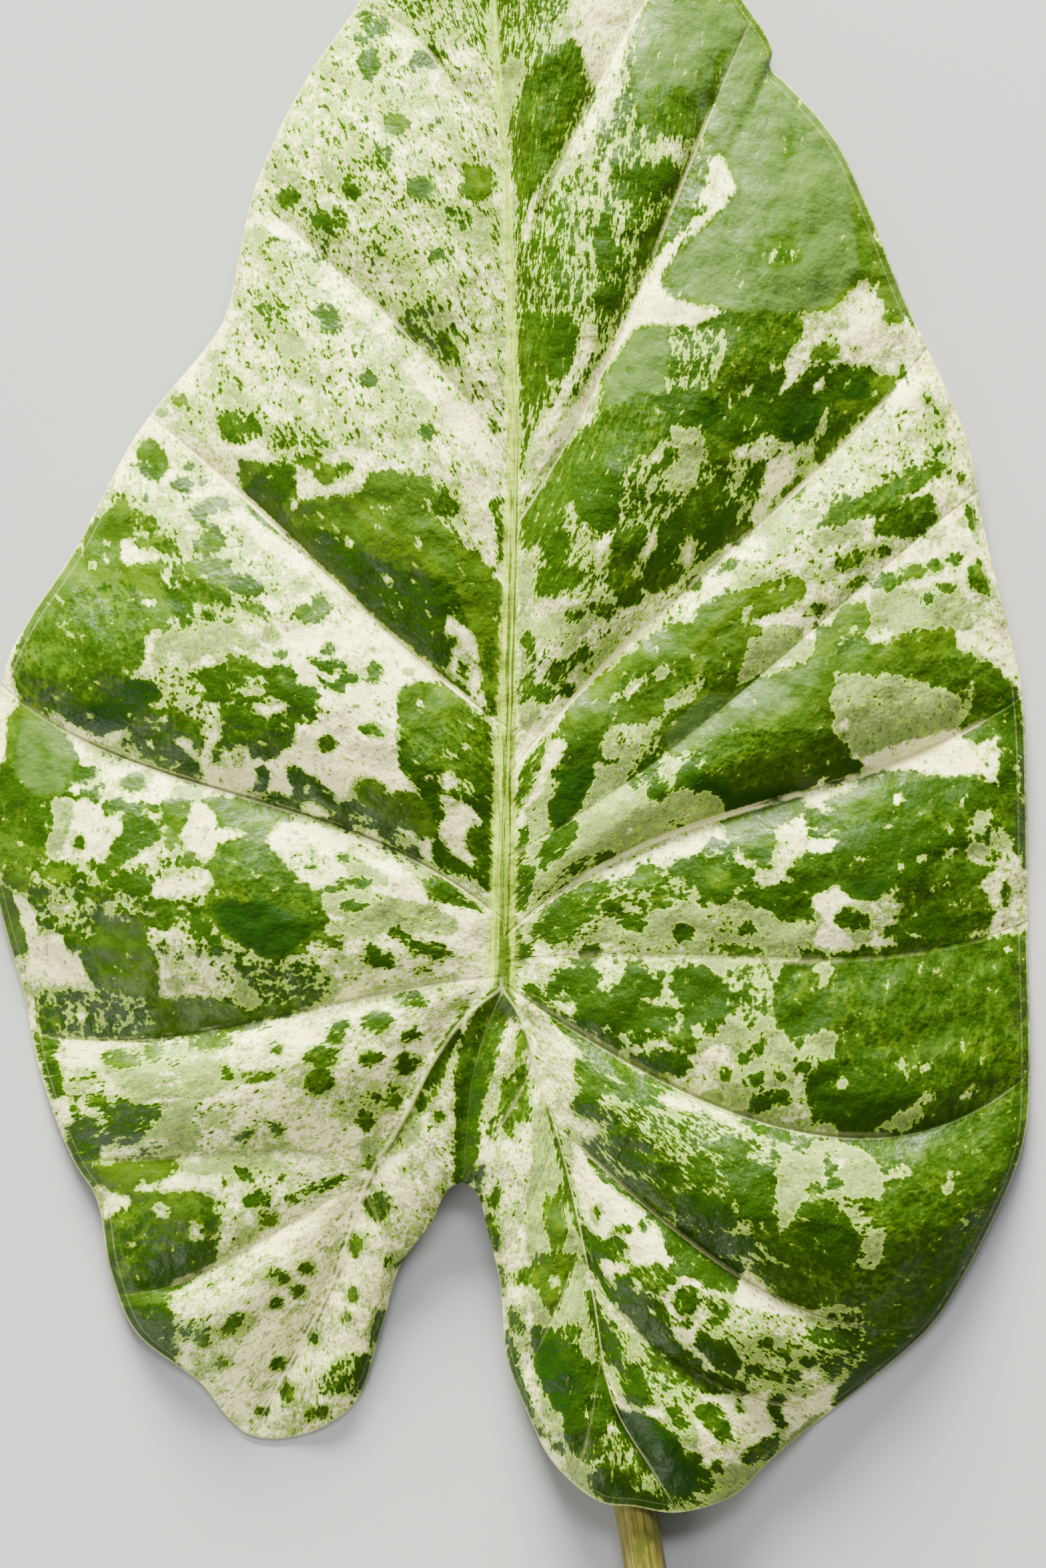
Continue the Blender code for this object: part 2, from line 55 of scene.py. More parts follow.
def profile(knots, distance):  # a smooth curve through (distance, height) knots
    x, y = np.array(knots, float).T
    slope = np.gradient(y, x)
    i = np.clip(np.searchsorted(x, distance, side="right") - 1, 0, len(x) - 2)
    step = x[i + 1] - x[i]
    t = np.clip((distance - x[i]) / step, 0, 1)
    a = (1 + 2 * t) * (1 - t) ** 2 * y[i] + t * (1 - t) ** 2 * step * slope[i]
    b = t * t * (3 - 2 * t) * y[i + 1] + t * t * (t - 1) * step * slope[i + 1]
    return a + b


class Path:  # a centripetal curve through points, read by the distance along it
    def __init__(self, points, samples=24):
        p = np.array(points, float)
        p = np.vstack([2 * p[0] - p[1], p, 2 * p[-1] - p[-2]])
        knots = np.concatenate([[0], np.cumsum(np.sqrt(np.linalg.norm(np.diff(p, axis=0), axis=1)))])
        rows = [p[1]]
        for i in range(1, len(p) - 2):
            t = np.linspace(knots[i], knots[i + 1], samples + 1)[1:, None]
            t0, t1, t2, t3 = knots[i - 1:i + 3]
            a1 = ((t1 - t) * p[i - 1] + (t - t0) * p[i]) / (t1 - t0)
            a2 = ((t2 - t) * p[i] + (t - t1) * p[i + 1]) / (t2 - t1)
            a3 = ((t3 - t) * p[i + 1] + (t - t2) * p[i + 2]) / (t3 - t2)
            b1 = ((t2 - t) * a1 + (t - t0) * a2) / (t2 - t0)
            b2 = ((t3 - t) * a2 + (t - t1) * a3) / (t3 - t1)
            rows.extend(((t2 - t) * b1 + (t - t1) * b2) / (t2 - t1))
        self.xy = np.array(rows)
        self.d = np.concatenate([[0], np.cumsum(np.linalg.norm(np.diff(self.xy, axis=0), axis=1))])
        self.length = self.d[-1]

    def at(self, distance):
        return np.stack([np.interp(distance, self.d, self.xy[:, k]) for k in (0, 1)], axis=-1)

    def nearest(self, point, low=0.0):
        far = np.linalg.norm(self.xy - np.array(point), axis=1)
        far[self.d < low] = np.inf
        return self.d[np.argmin(far)]


# the blade

blade = dict(
    thickness=0.8,
    domeRatio=0.15,            # height of a dome between two side veins, by their spacing
    domeLimit=8.5,
    swell=7.0,                 # rise of the widest blade between midrib and edge
    swellWidth=120.0,
    rootRun=16.0,              # a dome grows to its height over this run from the midrib
    domeReach=55.0,
    bulgeAt=(-101, 75), bulgeHeight=3.2, bulgeRadius=15.0,
    rimWidth=5.0, rimDrop=1.6,
    midribCrown=1.3, midribHalfWidth=3.4,
    midribTipShare=0.25,       # how wide the midrib is at the tip, by its width at the stalk
    midribDepth=4.3, midribTipDepth=0.5,
    furrowDepth=0.5, furrowWidth=2.4,
    costaDepth=2.4, costaShare=(0.85, 0.25),  # a lobe's rib: its depth, and its width at both ends
    veinDepth=1.3, veinHalfWidth=2.6,
    pinchDepth=1.7, pinchWidth=4.2,  # the skin dips this much more close to a sunk vein
    rowEndSunk=0.3,            # how deep the folds along the tip and the crease are sunk
    steepest=1.5,              # the skin thickens with its slope up to this
    upperStep=1.03, lowerStep=2.3,  # spacing of the mesh's points on the two sides
    ringShare=0.87, apart=0.62,     # rings of points and the least gap between two, by the spacing
    samePoint=0.45,            # points nearer than this are one
    creaseGap=9.0, sideGap=400.0,
    stalkPaint=317.0,          # the midrib's bands of colour end here, at the stalk
)

tip, notch = (-7, 318), (-9.3, -45.4)
leftEdge = [
    tip, (-9.4, 304), (-13, 288), (-18.5, 268), (-25.6, 247), (-33.6, 229.4), (-44.2, 213.9),
    (-53, 197.6), (-58.6, 182.9), (-61.8, 167.4), (-64.6, 156), (-69, 149), (-84.3, 130.2),
    (-100.3, 100.8), (-110.2, 85.9), (-115.8, 74.4), (-119, 52), (-119.7, 31), (-116.6, 15.5),
    (-111.4, -3.1), (-108.2, -19), (-100.3, -40.3), (-94.6, -49.6), (-91.6, -66), (-85.6, -80.6),
    (-70.1, -93), (-63.5, -101.4), (-58.9, -104.8), (-51.5, -105.7), (-42.2, -103.1), (-34, -97),
    (-28.2, -80.6), (-23.6, -65.1), (-16, -54.3), (-14.1, -49.9), (-12, -46.8), notch,
]
rightEdge = [
    tip, (-1.1, 306.5), (7.4, 296), (18.3, 282.1), (29.9, 267.8), (43, 250.5), (56.7, 229.4),
    (61.6, 222.2), (63.2, 218), (62.6, 214.4), (66.3, 210.8), (77.2, 198.4), (84.9, 182.9),
    (93, 162.8), (104.3, 138), (109, 126.3), (112.5, 107), (117.5, 86.8), (121.4, 69.8),
    (122.6, 43.4), (122.9, 9.3), (123.4, -18.6), (122.6, -32.6), (119, -45), (106.6, -69.8),
    (100.4, -79.1), (84.9, -93), (74.9, -100.8), (63.2, -110), (53.9, -118.6), (40.8, -122.3),
    (30.7, -120.9), (22.9, -119.8), (12.1, -110.8), (5.9, -99.2), (1.2, -86.8), (-0.3, -69.8),
    (-3.5, -55.8), (-4.8, -50.2), (-6.7, -46.8), notch,
]
creaseLine = [notch, (-8.4, -32.6), (-6.8, -20.2), (-3.7, -9.3), (0, 0)]
midribLine = [
    tip, (-3.6, 270), (-1.9, 229.4), (1.4, 183), (2.6, 152), (2.9, 121), (1.7, 74), (0.5, 28), (0, 0),
]
leftCosta = [
    (0, 0), (-8.1, -6.4), (-15.8, -17.1), (-22, -29), (-31.3, -45), (-39.1, -68), (-52.2, -93), (-57, -102),
]
rightCosta = [
    (0, 0), (4.2, -6.4), (9.6, -23.3), (15, -41.9), (20.5, -67.4), (25.9, -96.1), (35.3, -112.4), (39.6, -119.6),
]

# side veins from the tip round to the crease: root, points a third and two thirds along, end,
# how deep each is sunk, height of the edge at its end, and how pale and how dark it is drawn
leftVeins = [
    ((-3, 239), (-8, 249), (-12.8, 257), (-19, 260), 0.4, 1.2, 0.3, 0.0),
    ((0.8, 191), (-9.5, 207), (-20.5, 221), (-33.6, 229.4), 0.5, 2.5, 0.3, 0.0),
    ((2.8, 121), (-17.6, 147), (-37.5, 166), (-58, 185), 0.9, 3.5, 0.6, 0.0),
    ((1.4, 60.5), (-27.4, 83.4), (-55, 109.6), (-82.2, 133), 1.0, 3.0, 1.0, 0.2),
    ((0.3, 16.3), (-39, 38), (-79.4, 50.4), (-116.9, 70), 1.0, 1.8, 0.4, 0.9),
    ((0, 2.3), (-37.8, -3.4), (-73.9, -10.9), (-109.8, -11), 0.8, -0.4, 0.4, 0.2),
    ((-29, -41), (-52, -37.8), (-76, -39.2), (-100, -41), 0.5, 3.0, 0.1, 0.3),
    ((-31.6, -46), (-50, -55.3), (-69.3, -66.2), (-90.2, -72), 0.8, 3.0, 0.3, 0.1),
    ((-38.8, -67), (-51, -74.7), (-64, -82.5), (-77, -88.2), 0.35, 2.2, 0.1, 0.0),
    ((-57, -102), (-57.6, -103), (-58.3, -104), (-58.9, -104.8), 0.6, -0.4, 0.2, 0.0),
    ((-39, -68), (-36.5, -76), (-34, -84), (-31.3, -91), 0.3, 2.6, 0.1, 0.0),
    ((-32, -47), (-29, -53.5), (-26.3, -60), (-23.8, -66), 0.3, 5.0, 0.1, 0.0),
    ((-23, -31), (-18.4, -36), (-14, -41), notch, 0.5, 9.6, 0.1, 0.0),
]
rightVeins = [
    ((-1.1, 220), (4.8, 241), (13, 259), (23.7, 275), 0.4, 1.0, 0.1, 0.0),
    ((2.5, 156.6), (13.3, 189.4), (27.5, 219), (44.5, 248), 0.6, 2.5, 0.15, 0.0),
    ((3.1, 105.4), (24.8, 145.7), (41.9, 186.8), (58.6, 226.8), 0.75, 4.5, 0.3, 0.15),
    ((2.5, 48.8), (33, 83.7), (66.3, 113.5), (99.5, 149), 1.0, 3.0, 0.8, 0.0),
    ((2.2, 29.5), (40, 55.8), (75.6, 86), (111.3, 115), 0.45, 2.4, 0.1, 0.1),
    ((1.6, 10.9), (38.9, 35.7), (79, 48), (121.6, 67.4), 1.0, 1.6, 0.8, 0.2),
    ((1, 6.2), (42.3, 7.4), (83.4, 7), (122.9, 15.5), 0.35, -0.4, 0.1, 0.1),
    ((0, 1.2), (40, -22.9), (82.6, -34.9), (123.3, -20.2), 0.8, 1.6, 0.2, 0.7),
    ((12.4, -31.8), (40, -55.8), (69.4, -74.7), (100.6, -79), 0.8, 2.6, 0.3, 0.5),
    ((20.5, -67.4), (36.1, -83.7), (54.7, -94.2), (76.6, -99.5), 0.6, -0.4, 0.3, 0.2),
    ((39.6, -119.6), (40, -120.6), (40.4, -121.5), (40.8, -122.3), 0.5, 11.6, 0.2, 0.0),
    ((22.8, -84.5), (21.5, -95.5), (19.4, -106), (16.2, -115), 0.3, 11.2, 0.1, 0.0),
    ((18.3, -57.4), (14.5, -70), (9, -82.5), (2.8, -92), 0.3, 5.0, 0.1, 0.0),
    ((12.7, -31), (9.5, -43.5), (4.2, -56), (-1.3, -65.5), 0.3, 6.4, 0.1, 0.0),
    ((7.4, -17), (2.6, -27), (-3.6, -37), notch, 0.5, 9.6, 0.1, 0.0),
]

# heights of the upper side along the midrib and the lobe ribs, by distance from the stalk
midribHeight = [(0, 15.6), (60, 18.6), (120, 19.4), (180, 17), (230, 12.5), (280, 6), (319, 0.8)]
leftCostaHeight = [(0, 15.6), (25, 14.6), (50, 12), (80, 7), (117, 1.4)]
rightCostaHeight = [(0, 15.6), (25, 16.2), (60, 16.4), (90, 15.2), (127, 12.4)]


class Half:
    # one half of the blade: row u runs from the spine (s = 0) to the edge (s = 1), and whole
    # values of u are the side veins. The spine is the midrib, then the lobe's rib out and back
    def __init__(self, side, edge, costa, costaHeight, veins):
        self.side = side
        self.midrib, self.costa = Path(midribLine), Path(costa)
        self.edge, self.crease = Path(edge), Path(creaseLine)
        self.costaHeight = costaHeight
        self.lobeEnd = self.midrib.length + self.costa.length
        outer = int(np.argmin([np.linalg.norm(np.array(v[0]) - self.costa.xy[-1]) for v in veins]))
        flat = np.zeros(2)
        rows = [(0.0, 0.0, flat, flat, blade["rowEndSunk"], blade["thickness"], 0.0, 0.0)]
        for k, (root, third, twoThirds, end, sunk, height, pale, dark) in enumerate(veins):
            if root[1] > 0:
                p = self.midrib.nearest(root)
            else:
                p = self.midrib.length + self.costa.nearest(root)
            if k > outer:
                p = 2 * self.lobeEnd - p
            m = self.edge.nearest(end, low=rows[-1][1])
            start, stop = self.spine(p), self.rim(m)
            bow1 = np.array(third) - (2 * start + stop) / 3
            bow2 = np.array(twoThirds) - (start + 2 * stop) / 3
            rows.append((p, m, bow1, bow2, sunk, height, pale, dark))
        stalk = 2 * self.lobeEnd - self.midrib.length
        shut = self.edge.length + self.crease.length
        rows.append((stalk, shut, flat, flat, blade["rowEndSunk"], midribHeight[0][1], 0.0, 0.0))
        self.p, self.m, self.sunk, self.edgeHeight, self.pale, self.dark = (
            np.array([r[k] for r in rows]) for k in (0, 1, 4, 5, 6, 7))
        self.bow = np.array([[r[2], r[3]] for r in rows])
        self.last = len(rows) - 1
        spacing = (np.abs(np.diff(self.p)) + np.diff(self.m)) / 2
        self.across = np.concatenate([[0], np.cumsum(spacing)])

    def costaDistance(self, p):
        out = np.maximum(p, self.midrib.length) - self.midrib.length
        return np.where(out > self.costa.length, 2 * self.costa.length - out, out)

    def spine(self, p):
        p = np.asarray(p, float)
        onMidrib = (p <= self.midrib.length)[..., None]
        return np.where(onMidrib, self.midrib.at(p), self.costa.at(self.costaDistance(p)))

    def rim(self, m):
        m = np.asarray(m, float)
        onEdge = (m <= self.edge.length)[..., None]
        return np.where(onEdge, self.edge.at(m), self.crease.at(m - self.edge.length))

    def along(self, values, u):
        return np.interp(u, np.arange(self.last + 1), values)

    def length(self, u):
        return np.linalg.norm(self.rim(self.along(self.m, u)) - self.spine(self.along(self.p, u)), axis=-1)

    def nearestRow(self, u):
        return np.clip(np.round(u).astype(int), 0, self.last)

    def plan(self, u, s):
        start, stop = self.spine(self.along(self.p, u)), self.rim(self.along(self.m, u))
        bow = [np.stack([self.along(self.bow[:, j, k], u) for k in (0, 1)], axis=-1) for j in (0, 1)]
        s = np.asarray(s, float)[..., None]
        first = 13.5 * s * (s - 2 / 3) * (s - 1)
        second = -13.5 * s * (s - 1 / 3) * (s - 1)
        return start * (1 - s) + stop * s + bow[0] * first + bow[1] * second

    def spineHeight(self, p):
        toStalk = np.clip(self.midrib.length - p, 0, None)
        costa = profile(self.costaHeight, self.costaDistance(p))
        return np.where(p <= self.midrib.length, profile(midribHeight, toStalk), costa)

    def openness(self, u):  # 1 where the row ends on the free edge, 0 on the crease between the lobes
        return 1 - np.clip((self.along(self.m, u) - self.m[-3]) / (self.m[-2] - self.m[-3]), 0, 1)

    def width(self, panel, s):
        return (1 - s) * abs(self.p[panel + 1] - self.p[panel]) + s * (self.m[panel + 1] - self.m[panel])

    def domeHeight(self, panel, s):
        limit = blade["domeLimit"]
        return limit * np.tanh(blade["domeRatio"] * self.width(panel, s) / limit)

    def domes(self, u, s):
        panel = np.clip(np.floor(u).astype(int), 0, self.last - 1)
        t = u - panel
        vein = np.where(t < 0.5, panel, panel + 1)
        beside = np.clip(np.where(t < 0.5, panel - 1, panel + 1), 0, self.last - 1)
        here = self.domeHeight(panel, s)
        atVein = (here + self.domeHeight(beside, s)) / 2
        near = np.where(t < 0.5, 1 - 2 * t, 2 * t - 1)
        height = atVein * near + here * (1 - near)
        length = self.length(u)
        root = (1 - np.exp(-(s * length / blade["rootRun"]) ** 1.5)) * smooth(0, blade["domeReach"], length)
        free = 1 - 0.5 * smooth(0.72, 1, s)
        shut = 1 - smooth(0.6, 1, s)
        end = free * self.openness(u) + shut * (1 - self.openness(u))
        sunk = self.sunk[vein] * (1 - 0.45 * smooth(0.78, 1, s))
        return height * (1 - sunk * near ** 2) * root * end

    def spineHalfWidth(self, u):
        p = self.along(self.p, u)
        wide, narrow = blade["costaShare"]
        onCosta = wide + (narrow - wide) * self.costaDistance(p) / self.costa.length
        tip = blade["midribTipShare"]
        onMidrib = tip + (1 - tip) * p / self.midrib.length
        return blade["midribHalfWidth"] * np.where(p <= self.midrib.length, onMidrib, onCosta)

    def top(self, u, s):
        length = self.length(u)
        base = self.spineHeight(self.along(self.p, u))
        edge = self.along(self.edgeHeight, u)
        openness = self.openness(u)
        z = base + (edge - base) * s ** 1.5
        z = z + blade["swell"] * np.clip(length / blade["swellWidth"], 0, 1) * 4 * s * (1 - s) * openness
        z = z + self.domes(u, s)
        fromBulge = np.linalg.norm(self.plan(u, s) - np.array(blade["bulgeAt"]), axis=-1)
        z = z + blade["bulgeHeight"] * np.exp(-(fromBulge / blade["bulgeRadius"]) ** 2)
        halfWidth = self.spineHalfWidth(u)
        off = s * length
        crown = blade["midribCrown"] * (1 - smooth(0, 1, off / halfWidth))
        furrow = blade["furrowDepth"] * np.exp(-((off - halfWidth) / blade["furrowWidth"]) ** 2)
        z = z + (crown - furrow * smooth(4, 16, length)) * halfWidth / blade["midribHalfWidth"]
        row = self.nearestRow(u)
        inner = (row > 0) & (row < self.last)
        pinch = blade["pinchDepth"] * self.sunk[row] * smooth(0.06, 0.25, s) * (1 - smooth(0.8, 1, s))
        z = z - pinch * openness * np.exp(-self.veinOff(u, s) / blade["pinchWidth"]) * inner
        toEdge = (1 - s) * length
        return z - blade["rimDrop"] * np.clip(1 - toEdge / blade["rimWidth"], 0, 1) ** 2 * openness

    def rib(self, u, s):  # how far the ribs stand out below the blade
        p = self.along(self.p, u)
        length = self.length(u)
        onMidrib = p <= self.midrib.length
        out = np.where(onMidrib, self.midrib.length - p, self.costaDistance(p))
        tip = blade["midribTipDepth"]
        midrib = tip + (blade["midribDepth"] - tip) * (1 - out / self.midrib.length)
        costa = smooth(9, 24, out) * blade["costaDepth"] * (1 - 0.8 * out / self.costa.length)
        depth = np.where(onMidrib, smooth(0.4, 1.6, out) * midrib, costa)
        reach = np.clip(s * length / (1.3 * self.spineHalfWidth(u)), 0, 1)
        spine = depth * np.sqrt(1 - reach ** 2)
        row = self.nearestRow(u)
        beside = np.clip(self.veinOff(u, s) / blade["veinHalfWidth"], 0, 1)
        inner = (row > 0) & (row < self.last)
        vein = blade["veinDepth"] * self.sunk[row] * inner * (1 - beside ** 2) * smooth(0, 0.05, s)
        return np.maximum(spine, vein * (1 - s) * self.openness(u))

    def veinOff(self, u, s):  # distance from the nearest side vein
        panel = np.clip(np.floor(u).astype(int), 0, self.last - 1)
        return np.abs(u - np.round(u)) * self.width(panel, s)

    def slope(self, u, s, step=0.02):
        steep = np.zeros(len(u))
        for a, b, c, d in ((u, np.clip(s - step, 0, 1), u, np.clip(s + step, 0, 1)),
                           (np.clip(u - step, 0, self.last), s, np.clip(u + step, 0, self.last), s)):
            run = np.linalg.norm(self.plan(a, b) - self.plan(c, d), axis=-1)
            rise = np.abs(self.top(a, b) - self.top(c, d))
            steep = np.maximum(steep, np.where(run > 0.3, rise / np.maximum(run, 0.3), 0))
        return np.minimum(steep, blade["steepest"])


class Cloud:  # the blade's points in plan, none too near another, and the lines its triangles keep
    def __init__(self, cell):
        self.side, self.u, self.s, self.xy, self.lines, self.cells = [], [], [], [], [], {}
        self.cell = cell

    def find(self, x, y, reach):
        i, j = int(x // self.cell), int(y // self.cell)
        for a in (i - 1, i, i + 1):
            for b in (j - 1, j, j + 1):
                for k in self.cells.get((a, b), ()):
                    if (self.xy[k][0] - x) ** 2 + (self.xy[k][1] - y) ** 2 < reach * reach:
                        return k

    def add(self, half, u, s, reach, keep):
        keys = []
        for a, b, (x, y) in zip(u, s, half.plan(u, s).tolist()):
            key = self.find(x, y, reach)
            if key is None:
                key = len(self.xy)
                self.xy.append((x, y))
                self.side.append(half.side)
                self.u.append(a)
                self.s.append(b)
                self.cells.setdefault((int(x // self.cell), int(y // self.cell)), []).append(key)
            keys.append(key)
        if keep:
            self.lines.extend((a, b) for a, b in zip(keys, keys[1:]) if a != b)


def addSpine(cloud, half, roots, low, high, step):  # the midrib or a lobe rib, with every root on it
    stops = [low]
    for d in sorted(roots) + [high]:
        if blade["samePoint"] < d - stops[-1] and (d == high or d < high - blade["samePoint"]):
            stops.extend(np.linspace(stops[-1], d, max(1, round((d - stops[-1]) / step)) + 1)[1:])
    lobe = int(np.argmin(np.abs(half.p - half.lobeEnd)))
    u = np.interp(stops, half.p[:lobe + 1], np.arange(lobe + 1))
    cloud.add(half, u, np.zeros(len(u)), blade["samePoint"], True)


def layOut(halves, step):
    cloud, same = Cloud(step), blade["samePoint"]
    for half in halves:  # the outline and the crease, the same for both sides
        stops = np.linspace(0, half.m[-1], round(half.m[-1] / blade["upperStep"]))
        u = np.interp(np.union1d(stops, half.m), half.m, np.arange(half.last + 1))
        cloud.add(half, u, np.ones(len(u)), same, True)
    stalk = halves[0].midrib.length
    roots = np.concatenate([half.p for half in halves])
    addSpine(cloud, halves[0], roots[roots < stalk], 0.0, stalk, step)
    for half in halves:
        folded = half.midrib.length + half.costaDistance(half.p[half.p > half.midrib.length])
        addSpine(cloud, half, folded, stalk, half.lobeEnd, step)
    for half in halves:  # the side veins
        for k in range(1, half.last):
            s = np.linspace(0, 1, max(2, round(float(half.length(k)) / step)))
            cloud.add(half, np.full(len(s), float(k)), s, same, True)
    for half in halves:  # rings of points from the spine to the edge
        for k in range(half.last):
            reach = max(float(half.length(k)), float(half.length(k + 1)))
            rings = max(2, round(reach / (blade["ringShare"] * step)))
            for j in range(1, rings):
                s = j / rings
                count = max(1, round(float(half.width(k, s)) / step))
                t = (np.arange(count) + (0.5 if j % 2 else 1.0)) / count
                t = t[t < 0.999]
                cloud.add(half, k + t, np.full(len(t), s), blade["apart"] * step, False)
    return cloud


def bladeSide(halves, step, name):  # one side's triangles, its heights and what its paint reads
    cloud = layOut(halves, step)
    verts, _, faces, source, _, _ = delaunay_2d_cdt([Vector(p) for p in cloud.xy], cloud.lines, [], 1, 1e-4)
    print(name, len(verts), "points,", sum(not k for k in source), "of them new,", len(faces), "triangles")
    order = np.array([k[0] for k in source])
    side, u, s = (np.array(v)[order] for v in (cloud.side, cloud.u, cloud.s))
    xy = np.array([(v.x, v.y) for v in verts])
    upper, lower = np.zeros(len(u)), np.zeros(len(u))
    fields = {key: np.zeros((len(u), 3)) for key in ("flow", "vein", "rib")}
    for half in halves:
        mine = side == half.side
        a, b = u[mine], s[mine]
        thick = blade["thickness"] * np.sqrt(1 + half.slope(a, b) ** 2)
        top = half.top(a, b)
        low = np.maximum(top - thick - half.rib(a, b), 0)
        upper[mine], lower[mine] = np.maximum(top, low + thick), low
        length = half.length(a)
        row = half.nearestRow(a)
        across = half.along(half.across, a) + side[mine] * blade["sideGap"]
        toEdge = (1 - b) * length + blade["creaseGap"] * (1 - half.openness(a))
        fade = 1 - smooth(0.75, 1, b)
        for key, values in (("flow", (b * length, across, toEdge)),
                            ("vein", (half.veinOff(a, b), half.pale[row] * fade, half.dark[row] * fade)),
                            ("rib", (b * length * half.side, half.spineHalfWidth(a), half.along(half.p, a)))):
            fields[key][mine] = np.stack(values, axis=1)
    fields["layers"] = marble(xy)
    return xy, upper, lower, np.array(faces), order, fields


photo = dict(stalkAt=(752, 1480), mmPerPixel=0.155)

# marbling: marks placed over the photograph, in its pixels, each painted over the ones before.
# A tone says how far the haze, green and dark layers cover the skin there: 0 is half, 3 is all
tones = dict(
    cream=(-1.6, -1.9, 0), milky=(-0.5, -1.25, 0), freckled=(-0.2, -0.9, -0.5), specks=(0.3, -0.2, 0.3),
    # fresh is a plain lighter green; some of its marks lie where light glances off the leaf, a painted sheen there
    haze=(2.2, -1.2, 0.4), mixed=(1.3, 0.6, 0.4), mottled=(1.8, 1.1, 0.8), fresh=(3, 2.9, -1.6),
    # sheen is painted sheen: its haze past full greys the green with the sheen colour, as light glancing off the leaf
    # would
    sheen=(4.6, 3.1, -2.2), olive=(3, 2.7, 0.5), dark=(3, 2.9, 1.9), deep=(3, 4, 3.4),
)
markGrowth = 0.3               # green marks are drawn this much larger, and pale ones smaller, in mm
markEdge = 1.2                 # a mark fades in over this many mm each side of its outline

